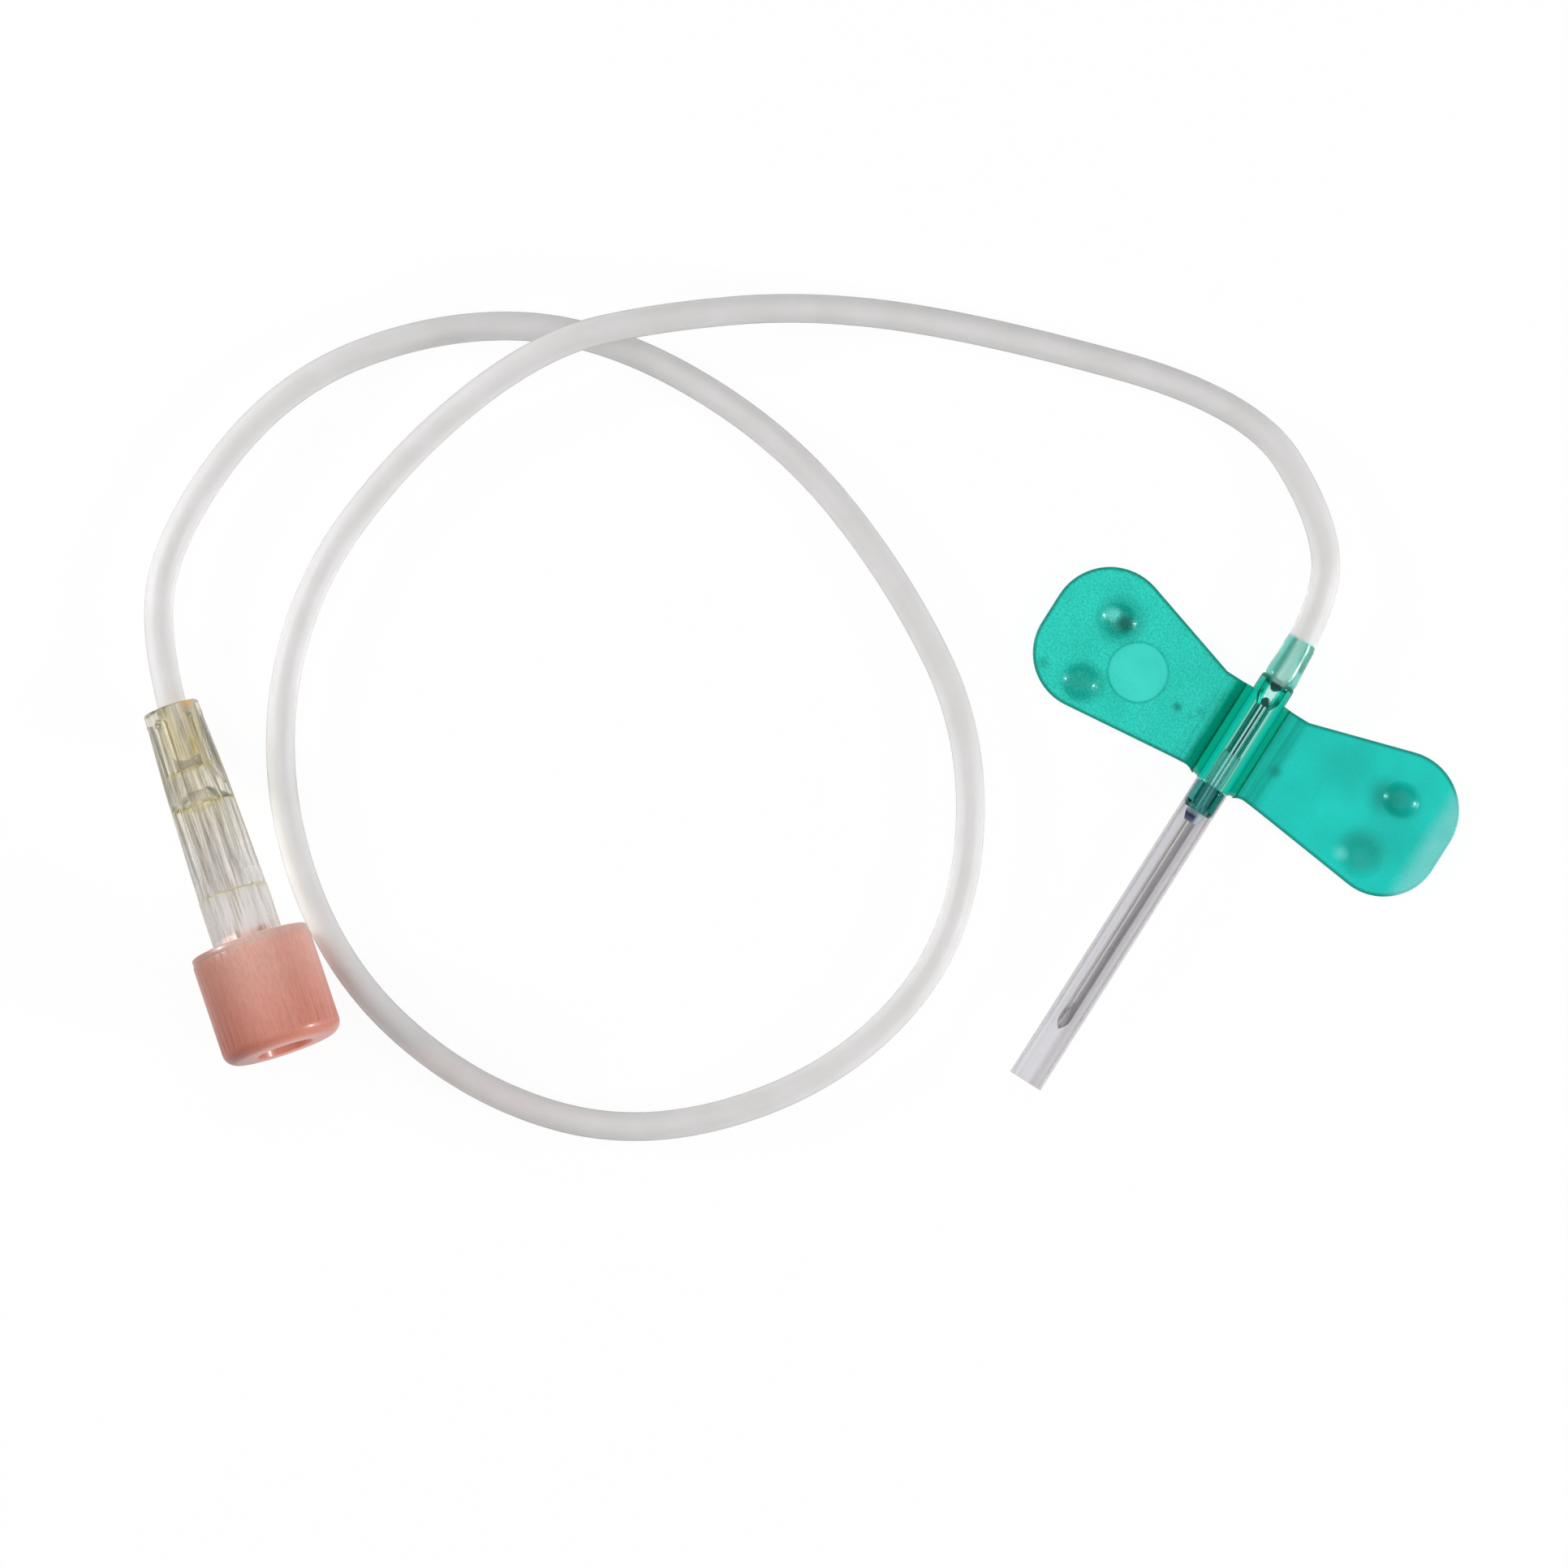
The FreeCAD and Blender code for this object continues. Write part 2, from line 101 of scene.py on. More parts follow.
# Connector and cap
connector_face_xy = (-68.75, -30.1)
connector_heading = -38.6
connector_length = 24.4
connector_end_radius = 2.1
connector_shoulder_at = 6.0
connector_shoulder_radius = 2.425
connector_body_radius = 2.65
tube_socket_depth = 4.9
tube_socket_radius = 1.095
passage_radius = 0.65
passage_end = 6.7
chamber_step = 7.7
chamber_radius = 1.65
luer_top = 14.7
luer_top_radius = 1.859
luer_end_radius = 2.15
flute_count = 6
flute_half_width = 0.525
flute_start = 0.8                  # top of the arch
rib_end = 14.7
core_socket_radius = 1.55
core_chamber_radius = 2.15
core_taper_start = 5.2
lug_radius = 3.85
lug_half_width = 1.2
lug_thickness = 1.1
cap_rim_at = 18.6
cap_radius = 4.565
cap_length = 8.4
cap_lip_height = 0.55
cap_lip_step = 0.07
cap_end_round = 1.0
cap_bore_radius = 4.0
cap_floor_at = 24.75
cap_recess_radius = 2.17
cap_recess_depth = 1.0
plug_tip_at = 17.8
plug_core_radius = 1.0
plug_tip_wall = 0.9
luer_mouth_radius = 2.13
luer_tip_radius = 1.93
grip_count = 40
grip_groove_radius = 0.22
grip_groove_depth = 0.05
grip_end = 0.6


def connector_frame():
    """The connector's own axes: Z along it from the tube end, Y upwards."""
    lip_at = cap_rim_at + cap_lip_height
    rim_rise = cap_radius - connector_end_radius - cap_lip_step
    lip_rise = cap_radius - connector_end_radius
    tilt = max(math.atan2(rim_rise, cap_rim_at), math.atan2(lip_rise, lip_at))
    heading = math.radians(connector_heading)
    axis = Vector((
        math.cos(heading) * math.cos(tilt),
        math.sin(heading) * math.cos(tilt),
        math.sin(tilt),
    ))
    side = Vector((0, 0, 1)).cross(axis).normalized()
    upward = axis.cross(side)
    face = Vector((*connector_face_xy, connector_end_radius * math.cos(tilt)))
    turn = Matrix((side, upward, axis)).transposed().to_4x4()
    return Matrix.Translation(face) @ turn


connector_place = connector_frame()
connector_face = connector_place.translation
connector_axis = connector_place.to_3x3() @ Vector((0, 0, 1))


# Mesh helpers
def add_object(name, data):
    """An object in the scene for this mesh, curve, camera or lamp."""
    made = bpy.data.objects.new(name, data)
    bpy.context.scene.collection.objects.link(made)
    return made


def make_piece(name, points, faces, material):
    """A smooth mesh from points in millimetres, its faces turned outwards."""
    mesh = bpy.data.meshes.new(name)
    mesh.from_pydata([Vector(p) * MM for p in points], [], faces)
    shape = bmesh.new()
    shape.from_mesh(mesh)
    bmesh.ops.recalc_face_normals(shape, faces=shape.faces)
    shape.to_mesh(mesh)
    shape.free()
    mesh.shade_smooth()
    mesh.materials.append(material)
    return add_object(name, mesh)


def grid_faces(rows, columns, closed=True, start=0):
    """Quads between rows of points, each row closed on itself or open."""
    faces = []
    last = columns if closed else columns - 1
    for i in range(rows - 1):
        for j in range(last):
            a = start + i * columns + j
            b = start + i * columns + (j + 1) % columns
            faces.append((a, b, b + columns, a + columns))
    return faces


def close_rows(rows, columns):
    """Quads that join the last row of points to the first."""
    last = (rows - 1) * columns
    faces = []
    for j in range(columns):
        k = (j + 1) % columns
        faces.append((last + j, last + k, k, j))
    return faces


def turned_attributes(piece):
    """Store each point's place in the connector's own axes, in millimetres."""
    inverse = connector_place.inverted()
    places = [inverse @ (v.co / MM) for v in piece.data.vertices]
    point_attribute(piece, "side", [p.x for p in places])
    point_attribute(piece, "rise", [p.y for p in places])
    point_attribute(piece, "along", [p.z for p in places])


def point_attribute(piece, name, values):
    """Store one number for each point of a piece, for its material to read."""
    attribute = piece.data.attributes.new(name, "FLOAT", "POINT")
    attribute.data.foreach_set("value", np.asarray(values, np.float32))


def rounded(corners, step_angle=5.0):
    """Points along corners (x, y, radius), the inner ones rounded by arcs."""
    line = [Vector(corners[0][:2])]
    for before, corner, after in zip(corners[:-2], corners[1:-1], corners[2:]):
        point = Vector(corner[:2])
        radius = corner[2]
        back = (Vector(before[:2]) - point).normalized()
        on = (Vector(after[:2]) - point).normalized()
        half_turn = (math.pi - back.angle(on)) / 2
        centre = point + (back + on).normalized() * (radius / math.cos(half_turn))
        start = point + back * radius * math.tan(half_turn) - centre
        end = point + on * radius * math.tan(half_turn) - centre
        turn = start.angle_signed(end)
        steps = max(2, math.ceil(abs(math.degrees(turn)) / step_angle))
        for i in range(steps + 1):
            a = -turn * i / steps
            x = start.x * math.cos(a) - start.y * math.sin(a)
            y = start.x * math.sin(a) + start.y * math.cos(a)
            line.append(centre + Vector((x, y)))
    line.append(Vector(corners[-1][:2]))
    return line


def rings(profile, angles, point_at):
    """Rings of points round an axis, one for each (distance along it, radius)."""
    return [point_at(angle, radius, at) for at, radius in profile for angle in angles]


def circle(columns):
    return [2 * math.pi * j / columns for j in range(columns)]


def sleeve(name, profile, point_at, material, columns):
    """A piece turned round an axis, from a profile that closes on itself."""
    points = rings(profile, circle(columns), point_at)
    faces = grid_faces(len(profile), columns) + close_rows(len(profile), columns)
    return make_piece(name, points, faces, material)


def hub_point(angle, radius, at):
    """A point round the hub's axis."""
    return radius * math.cos(angle), at + mid_y, radius * math.sin(angle) + hub_axis_height


def connector_point(angle, radius, at):
    """A point round the connector's axis."""
    return connector_place @ Vector((radius * math.cos(angle), radius * math.sin(angle), at))


# Material helpers. A socket knows its node tree, so what builds on an output needs no material.
def add_node(tree, kind, **settings):
    """Add a node, with its settings given by name."""
    made = tree.nodes.new(kind)
    for key, value in settings.items():
        setattr(made, key, value)
    return made


def feed(socket, value):
    """Link an output to an input, or set a plain number or colour on the input itself."""
    if isinstance(value, bpy.types.NodeSocket):
        socket.id_data.links.new(value, socket)
    elif socket.type == "RGBA":
        socket.default_value = (*value, 1)
    else:
        socket.default_value = value


def put(kind, *values, **settings):
    """Add a node to the tree of its first value, an output, and feed its inputs in order."""
    made = add_node(values[0].id_data, kind, **settings)
    for socket, value in zip(made.inputs, values):
        feed(socket, value)
    return made


def maths(operation, *values, **settings):
    """The result of one sum."""
    return put("ShaderNodeMath", *values, operation=operation, **settings).outputs[0]


def times(first, second):
    return maths("MULTIPLY", first, second)


def measure(operation, *vectors):
    """The length of a vector, or the distance between two."""
    return put("ShaderNodeVectorMath", *vectors, operation=operation).outputs["Value"]


def combine(x, y, z=0.0):
    return put("ShaderNodeCombineXYZ", x, y, z).outputs["Vector"]


def split(vector):
    return tuple(put("ShaderNodeSeparateXYZ", vector).outputs)


def spread(source, low, high, to_low=0.0, to_high=1.0, way="LINEAR"):
    """Map a number from one range to another and hold it there."""
    made = put("ShaderNodeMapRange", source, low, high, to_low, to_high, interpolation_type=way)
    return made.outputs["Result"]


def ease(source, low, high, to_low=0.0, to_high=1.0):
    """The same, with a gentle start and end."""
    return spread(source, low, high, to_low, to_high, "SMOOTHSTEP")


def noise(source, scale, detail=2.0, stretch=None):
    """Noise over a vector output, as many lumps in each of its units as scale says."""
    if stretch:
        mapping = put("ShaderNodeMapping", source)
        feed(mapping.inputs["Scale"], stretch)
        source = mapping.outputs["Vector"]
    made = put("ShaderNodeTexNoise", source)
    feed(made.inputs["Scale"], scale)
    feed(made.inputs["Detail"], detail)
    return made.outputs["Fac"]


def mix_sides(tree, kind, share, first, second, **settings):
    """Mix two colours (kind RGBA) or numbers (kind VALUE), each a value or an output."""
    data_type = {"RGBA": "RGBA", "VALUE": "FLOAT"}[kind]
    made = add_node(tree, "ShaderNodeMix", data_type=data_type, **settings)
    feed(made.inputs["Factor"], share)
    sides = [s for s in made.inputs if s.type == kind and s.name in ("A", "B")]
    feed(sides[0], first)
    feed(sides[1], second)
    return [s for s in made.outputs if s.type == kind][0]


def mix(share, first, second, kind="RGBA"):
    return mix_sides(share.id_data, kind, share, first, second)


def multiply(first, second):
    """One colour seen through another."""
    return mix_sides(first.id_data, "RGBA", 1.0, first, second, blend_type="MULTIPLY")


def tinted(colour, share, first, second):
    """A colour seen through a mix of two others."""
    return multiply(colour, mix(share, first, second))


def near(place, centre, inner, outer, most=1.0):
    """A share that is at its most near a centre and falls to 0 farther out."""
    return ease(measure("DISTANCE", place, (*centre, 0)[:3]), inner, outer, most, 0.0)


def shader_of(material):
    return material.node_tree.nodes["Principled BSDF"]


def set_shader(material, values):
    """Set or link inputs of a material's shader, given by name."""
    for name, value in values.items():
        feed(shader_of(material).inputs[name], value)


def new_material(name, values):
    """A Principled material with these values set on its own sockets."""
    material = bpy.data.materials.new(name)
    material.use_nodes = True
    set_shader(material, values)
    return material


def place_of(material):
    """The point's place in the piece's own frame, in metres."""
    return add_node(material.node_tree, "ShaderNodeTexCoord").outputs["Object"]


def attribute(material, name):
    made = add_node(material.node_tree, "ShaderNodeAttribute", attribute_name=name)
    return made.outputs["Fac"]


def facing_of(material):
    """0 where the surface faces the eye and 1 at its outline."""
    made = add_node(material.node_tree, "ShaderNodeLayerWeight")
    feed(made.inputs["Blend"], 0.5)
    return made.outputs["Facing"]


def coloured(material, kind, colour):
    """A node of another shader, in one colour."""
    made = add_node(material.node_tree, kind)
    feed(made.inputs["Color"], colour)
    return made


def mix_shaders(share, first, second):
    return put("ShaderNodeMixShader", share, first, second).outputs["Shader"]


def show(material, source, socket="Surface"):
    feed(material.node_tree.nodes["Material Output"].inputs[socket], source)


def bump(material, height, distance):
    """Roughen the surface by a height output, distance metres high."""
    made = add_node(material.node_tree, "ShaderNodeBump")
    feed(made.inputs["Strength"], 1.0)
    feed(made.inputs["Distance"], distance)
    feed(made.inputs["Height"], height)
    set_shader(material, {"Normal": made.outputs["Normal"]})


def shade_rim(material, colour, low, high, most):
    """Darken the outline, where clear plastic shows what lies beside it and not the floor."""
    rim = coloured(material, "ShaderNodeBsdfDiffuse", colour).outputs["BSDF"]
    share = ease(facing_of(material), low, high, 0.0, most)
    return mix_shaders(share, shader_of(material).outputs["BSDF"], rim)


def let_lamps_through(material, colour, body=None):
    """Lamps shine through the piece, tinted, instead of casting a black shadow."""
    path = add_node(material.node_tree, "ShaderNodeLightPath")
    clear = coloured(material, "ShaderNodeBsdfTransparent", colour).outputs["BSDF"]
    body = body or shader_of(material).outputs["BSDF"]
    show(material, mix_shaders(path.outputs["Is Shadow Ray"], body, clear))


def absorb(material, colour, density):
    """Tint the light by how far it goes inside the piece."""
    volume = coloured(material, "ShaderNodeVolumeAbsorption", colour)
    feed(volume.inputs["Density"], density)
    show(material, volume.outputs["Volume"], "Volume")


# Materials
WHITE = (1, 1, 1)
DARK = (0.0, 0.34, 0.27)
DEEP = (0.0, 0.16, 0.13)
PALE = (0.35, 0.90, 0.85)
GREEN_DEPTH = (0.0, 0.885, 0.86)
GREEN_DENSITY = 2500.0
WING_GLOSS = (0.4, 0.9, 0.85)


def wing_place(material):
    """The point's place on the wing before it is folded, in millimetres, with both wings alike."""
    across = maths("ABSOLUTE", attribute(material, "rest_x"))
    return across, combine(across, attribute(material, "rest_y"))


def wing_material(name, body, grain, fold_at, fold_dark, painted_marks, pale_rim, disc_pale):
    """Translucent green plastic, dark at the fold and along the edges, with a matt grain."""
    material = new_material(name, {
        "Transmission Weight": 0.72,
        "Roughness": 0.3,
        "IOR": 1.47,
        "Specular IOR Level": 0.02,
        "Specular Tint": WING_GLOSS,
        "Coat Weight": 0.13,
        "Coat Roughness": 0.04,
    })
    across, place = wing_place(material)
    pale = (0.26, 0.98, 0.93)
    colour = mix(spread(attribute(material, "thick"), 0.05, 0.4), pale, body)
    disc = near(place, (disc_x, disc_y), disc_radius - 0.05, disc_radius + 0.05)
    colour = mix(spread(disc, 0, 1, 0, disc_pale), colour, pale)
    wide = near(place, (disc_x, disc_y), disc_radius + 0.1, disc_radius + 0.22)
    ring = maths("SUBTRACT", wide, disc, use_clamp=True)
    colour = mix(spread(ring, 0, 1, 0, disc_pale), colour, DARK)
    fold = ease(across, fold_at - 0.3, fold_at + 0.3, fold_dark, 0.0)
    colour = mix(fold, colour, (0.0, 0.40, 0.27))
    fibres = spread(noise(place, 4.0, 2.0, (1.0, 0.02, 1.0)), 0.4, 0.6)
    lined = times(fibres, ease(across, 3.0, 4.4, 0.7, 0.0))
    colour = tinted(colour, lined, WHITE, (0.5, 0.72, 0.68))
    border = ease(attribute(material, "edge"), 0.08, 0.34, 1.0, 0.0)
    colour = mix(border, colour, DARK)
    # painted shade and painted highlights round the studs and sockets, and other darker or paler
    # spots
    for centre, inner, outer, strength, patch in painted_marks:
        share = near(place, centre, inner, outer)
        colour = mix(spread(share, 0, 1, 0, strength), colour, patch)
    rim = ease(across, 14.9, 16.6, 0.0, pale_rim)
    colour = mix(rim, colour, (0.50, 0.80, 0.80))
    clouds = spread(noise(place, 0.35), 0.3, 0.7)
    colour = tinted(colour, clouds, (0.72, 0.90, 0.88), WHITE)
    specks = mix(spread(disc, 0, 1, 0, 0.85), noise(place, 5.5, 3.0), 0.56, "VALUE")
    shade = (1 - 0.6 * grain, 1 - 0.3 * grain, 1 - 0.3 * grain)
    colour = tinted(colour, spread(specks, 0.35, 0.65), shade, WHITE)
    set_shader(material, {
        "Base Color": colour,
        "Specular Tint": mix(fold, WING_GLOSS, (0.0, 0.5, 0.4)),
        "Coat Weight": spread(fold, 0.0, 1.0, 0.13, 0.02),
    })
    bump(material, specks, 0.00004 * grain)
    absorb(material, GREEN_DEPTH, GREEN_DENSITY)
    let_lamps_through(material, (0.35, 0.9, 0.85))
    return material


def from_hub_axis(x, z):
    """How far a point is from the hub's axis."""
    return measure("LENGTH", combine(x, maths("SUBTRACT", z, hub_axis_height * MM)))


def gripped_part(place, y):
    """1 where the sheath grips the nose, up to a wavy line round it, and 0 in front."""
    wavy = maths("MULTIPLY_ADD", noise(place, 1500.0), 1.6 * MM, y)
    end = (mid_y - 5.9) * MM
    return ease(wavy, end, end + 0.25 * MM)


def hub_material():
    """The same plastic, polished: pale over the needle, deep green at the sides."""
    material = new_material("hub_green", {
        "Transmission Weight": 1.0,
        "Roughness": 0.05,
        "IOR": 1.47,
        "Specular IOR Level": 0.1,
        "Specular Tint": (0.3, 0.9, 0.75),
    })
    place = place_of(material)
    x, y, z = split(place)
    across = maths("ABSOLUTE", x)
    nose = spread(y, 6.6 * MM, 6.75 * MM, 1.0, 0.0)
    gripped = gripped_part(place, y)
    # painted light: where the sheath grips it, the nose is paler on its -x side and deeper green on
    # its +x side
    green = mix(ease(x, -0.9 * MM, 0.9 * MM), (0.04, 0.46, 0.40), (0.0, 0.27, 0.24))
    sides = mix(nose, (0.0, 0.40, 0.26), mix(gripped, (0.80, 0.82, 0.85), green))
    strip = mix(nose, (0.98, 0.99, 0.98), (0.48, 0.84, 0.80))
    nose_sides = times(ease(across, 0.3 * MM, 0.5 * MM), nose)
    share = maths("MAXIMUM", ease(across, 0.5 * MM, 0.85 * MM), nose_sides)
    colour = mix(share, strip, sides)
    cavity_shade_noise = spread(noise(place, 1300.0, 1.0), 0.30, 0.38)
    reach = from_hub_axis(x, z)
    inside = spread(reach, 1.0 * MM, 1.1 * MM, 1.0, 0.0)
    # painted shade: dark spots in the cavity, broken up by noise; distance behind the wings'
    # mid-line, and radius
    for rear, size in ((4.1, 0.42), (2.65, 0.36)):
        gap = measure("DISTANCE", combine(x, y), (0, (mid_y + rear) * MM, 0))
        close = spread(gap, size * 0.85 * MM, size * MM, 1.0, 0.0)
        dim = times(times(close, cavity_shade_noise), inside)
        colour = mix(dim, colour, (0.0, 0.01, 0.01))
    streaks = noise(place, 900.0, 3.0, (1.0, 0.15, 1.0))
    # The plastic sits tight on the needle and the glue, so nothing is bent or mirrored there.
    tight = spread(reach, 0.5 * MM, 0.52 * MM, 1.0, 0.0)
    ahead = spread(y, (mid_y + 2.25) * MM, (mid_y + 2.3) * MM, 1.0, 0.0)
    wetted = maths("MAXIMUM", times(tight, ahead), times(nose, gripped))
    set_shader(material, {
        "Base Color": colour,
        "Roughness": spread(streaks, 0.35, 0.7, 0.02, 0.10),
        "IOR": spread(wetted, 0.0, 1.0, 1.47, 1.0),
    })
    absorb(material, (0.4, 0.88, 0.82), 700.0)
    body = shade_rim(material, (0.0, 0.14, 0.10), 0.35, 0.85, 0.65)
    let_lamps_through(material, (0.72, 0.93, 0.9), body)
    return material


def steel_material():
    """Steel with fine lines along the needle, duller outside the hub. A dark line on top and dark
    bands along the flanks are painted reflections, half as strong outside the hub; inside the hub,
    painted light makes its -x side pale and its +x side dark.
    """
    material = new_material("needle_steel", {
        "Base Color": (0.80, 0.79, 0.81),
        "Metallic": 1.0,
        "Roughness": 0.25,
    })
    place = place_of(material)
    x, y = split(place)[:2]
    across = maths("ABSOLUTE", x)
    lines = noise(place, 12000.0, 2.0, (1.0, 0.03, 1.0))
    bare = spread(y, (mid_y - 6.6) * MM, (mid_y - 6.2) * MM, 1.0, 0.0)
    # painted reflection: a dark line along the top and dark bands along the flanks, half as strong
    # outside the hub
    line = ease(across, 0.04 * MM, 0.10 * MM, 1.0, 0.0)
    inner_flank = ease(across, 0.19 * MM, 0.24 * MM, 0.0, 0.9)
    outer_flank = ease(across, 0.29 * MM, 0.33 * MM, 1.0, 0.2)
    dark = maths("MAXIMUM", line, times(inner_flank, outer_flank))
    dark = times(dark, spread(bare, 0.0, 1.0, 1.0, 0.5))
    # painted light: inside the hub the -x side is pale and the +x side dark, with streaks over it
    uneven = mix(ease(x, -0.1 * MM, 0.12 * MM), (0.95, 0.92, 0.86), (0.42, 0.41, 0.45))
    coarse = noise(place, 6000.0, 2.0, (1.0, 0.02, 1.0))
    streaks_and_side_light = tinted(uneven, coarse, (0.6, 0.6, 0.6), WHITE)
    bright = mix(bare, (0.88, 0.87, 0.89), streaks_and_side_light)
    set_shader(material, {
        "Base Color": mix(dark, bright, (0.03, 0.03, 0.04)),
        "Roughness": spread(lines, 0.3, 0.7, 0.12, 0.22),
    })
    bump(material, lines, 0.000002)
    return material


def glue_material():
    """Cured glue, blue where it stands out of the nose."""
    material = new_material("needle_glue", {
        "Transmission Weight": 0.8,
        "Roughness": 0.08,
        "IOR": 1.06,
    })
    place = place_of(material)
    x, y = split(place)[:2]
    front = (mid_y - 7.1) * MM
    share = spread(y, front - 0.3 * MM, front + 0.3 * MM)
    thick = mix(noise(place, 2500.0), (0.002, 0.012, 0.05), (0.008, 0.035, 0.11))
    blue = mix(ease(x, 0.05 * MM, 0.35 * MM), thick, (0.55, 0.66, 0.74))
    set_shader(material, {
        "Base Color": mix(share, blue, (0.85, 0.95, 0.95)),
        "Transmission Weight": spread(share, 0.0, 1.0, 0.1, 0.9),
    })
    let_lamps_through(material, (0.6, 0.75, 0.85))
    return material


def sheath_material():
    """Clear plastic, faintly lilac, with fine streaks along it."""
    material = new_material("sheath_clear", {
        "Roughness": 0.05,
        "IOR": 1.5,
        "Specular Tint": (0.35, 0.35, 0.38),
    })
    place = place_of(material)
    x, y, z = split(place)
    bore = spread(from_hub_axis(x, z), 0.98 * MM, 1.0 * MM, 1.0, 0.0)
    gripped = gripped_part(place, y)
    outer_bend = spread(gripped, 0.0, 1.0, 1.25, 1.5)
    bore_bend = spread(gripped, 0.0, 1.0, 1.04, 1.0)
    streaks = noise(place, 1400.0, 2.0, (1.0, 0.01, 1.0))
    clear = mix(spread(streaks, 0.35, 0.65), (0.70, 0.695, 0.715), (0.84, 0.835, 0.855))
    # painted shade: the base colour is a little darker on the sheath's +x side
    set_shader(material, {
        "Base Color": tinted(clear, ease(x, 0.0, 0.5 * MM), WHITE, (0.90, 0.89, 0.88)),
        "Roughness": spread(streaks, 0.4, 0.75, 0.0, 0.03),
        "IOR": mix(bore, outer_bend, bore_bend, "VALUE"),
        "Transmission Weight": spread(y, (mid_y - 8.0) * MM, (mid_y - 7.4) * MM, 0.92, 1.0),
    })
    body = shade_rim(material, (0.47, 0.465, 0.48), 0.38, 0.75, 0.75)
    let_lamps_through(material, (0.93, 0.93, 0.93), body)
    return material


def turned_place(material, stretch):
    """The point's place in the connector's own axes in millimetres, drawn out along them."""
    along = times(attribute(material, "along"), stretch)
    return combine(attribute(material, "side"), attribute(material, "rise"), along)


def connector_material():
    """Clear plastic, yellowish at the tube end and faintly lilac at the mouth."""
    material = new_material("connector_clear", {
        "Transmission Weight": 0.9,
        "Roughness": 0.05,
        "IOR": 1.55,
    })
    at = attribute(material, "along")
    place = turned_place(material, 1.0)
    tint = mix(ease(at, 4.0, 14.0), (0.83, 0.80, 0.70), (0.85, 0.835, 0.835))
    streaks = spread(noise(turned_place(material, 0.04), 2.2), 0.33, 0.52)
    streaky = mix(spread(at, 14.5, 15.0), (0.50, 0.48, 0.44), (0.80, 0.79, 0.80))
    colour = tinted(tint, streaks, streaky, WHITE)
    hairs = spread(noise(turned_place(material, 0.05), 7.0, 1.0), 0.30, 0.42)
    colour = tinted(colour, hairs, (0.52, 0.48, 0.36), WHITE)
    # painted shade: the connector is darker towards its left side
    left = ease(attribute(material, "side"), -2.5, -1.2)
    colour = tinted(colour, left, (0.80, 0.79, 0.77), WHITE)
    amber = near(place, (1.2, 1.3, 0.1), 0.35, 0.85)
    colour = mix(amber, colour, (0.95, 0.50, 0.12))
    yellow = near(turned_place(material, 0.4), (1.3, 1.2, 1.0), 0.4, 1.0, 0.8)
    colour = tinted(colour, yellow, WHITE, (0.90, 0.84, 0.56))
    # painted shade: darker round the spot on the flute floor where the left lamp's highlight falls;
    # there it is also rougher and reflects less
    dim = near(place, (-1.2, 1.5, 6.3), 0.8, 1.5)
    colour = tinted(colour, dim, WHITE, (0.72, 0.71, 0.68))
    for ring_at, width in ((4.95, 0.1), (7.75, 0.14), (14.69, 0.06)):
        ring = maths("COMPARE", at, ring_at, width)
        colour = mix(ring, colour, (0.62, 0.56, 0.30))
    reach = measure("LENGTH", turned_place(material, 0.0))
    frosted = times(spread(reach, 2.18, 2.3, 1.0, 0.0), spread(at, 12.0, 14.0))
    cone = maths("COMPARE", at, 6.4, 1.35)
    cone = times(cone, spread(reach, 1.45, 1.55, 1.0, 0.0))
    milky = maths("MULTIPLY_ADD", cone, 0.45, frosted, use_clamp=True)
    dull = maths("MAXIMUM", milky, spread(dim, 0.0, 0.5, 0.0, 0.85))
    set_shader(material, {
        "Base Color": colour,
        "Roughness": spread(dull, 0.0, 1.0, 0.04, 0.4),
        "Specular Tint": mix(spread(dim, 0.0, 0.5), (0.7, 0.7, 0.7), (0.05, 0.05, 0.05)),
    })
    body = shade_rim(material, (0.34, 0.30, 0.20), 0.6, 0.95, 0.5)
    let_lamps_through(material, (0.93, 0.93, 0.92), body)
    return material


def socket_glue_material():
    """Solvent glue: mostly clear and yellowish, amber where it gathered at the mouth."""
    material = new_material("socket_glue", {
        "Transmission Weight": 0.9,
        "Roughness": 0.1,
        "IOR": 1.5,
    })
    one_side = ease(attribute(material, "side"), 0.35, 0.8)
    mouth = ease(attribute(material, "along"), 0.45, 0.9, 1.0, 0.0)
    clouds = noise(turned_place(material, 0.4), 1.3)
    clear = mix(clouds, (0.96, 0.95, 0.86), (0.90, 0.87, 0.72))
    yellow = mix(one_side, clear, (0.90, 0.80, 0.48))
    colour = mix(times(one_side, mouth), yellow, (0.85, 0.42, 0.06))
    set_shader(material, {"Base Color": colour})
    let_lamps_through(material, (0.9, 0.85, 0.7))
    return material


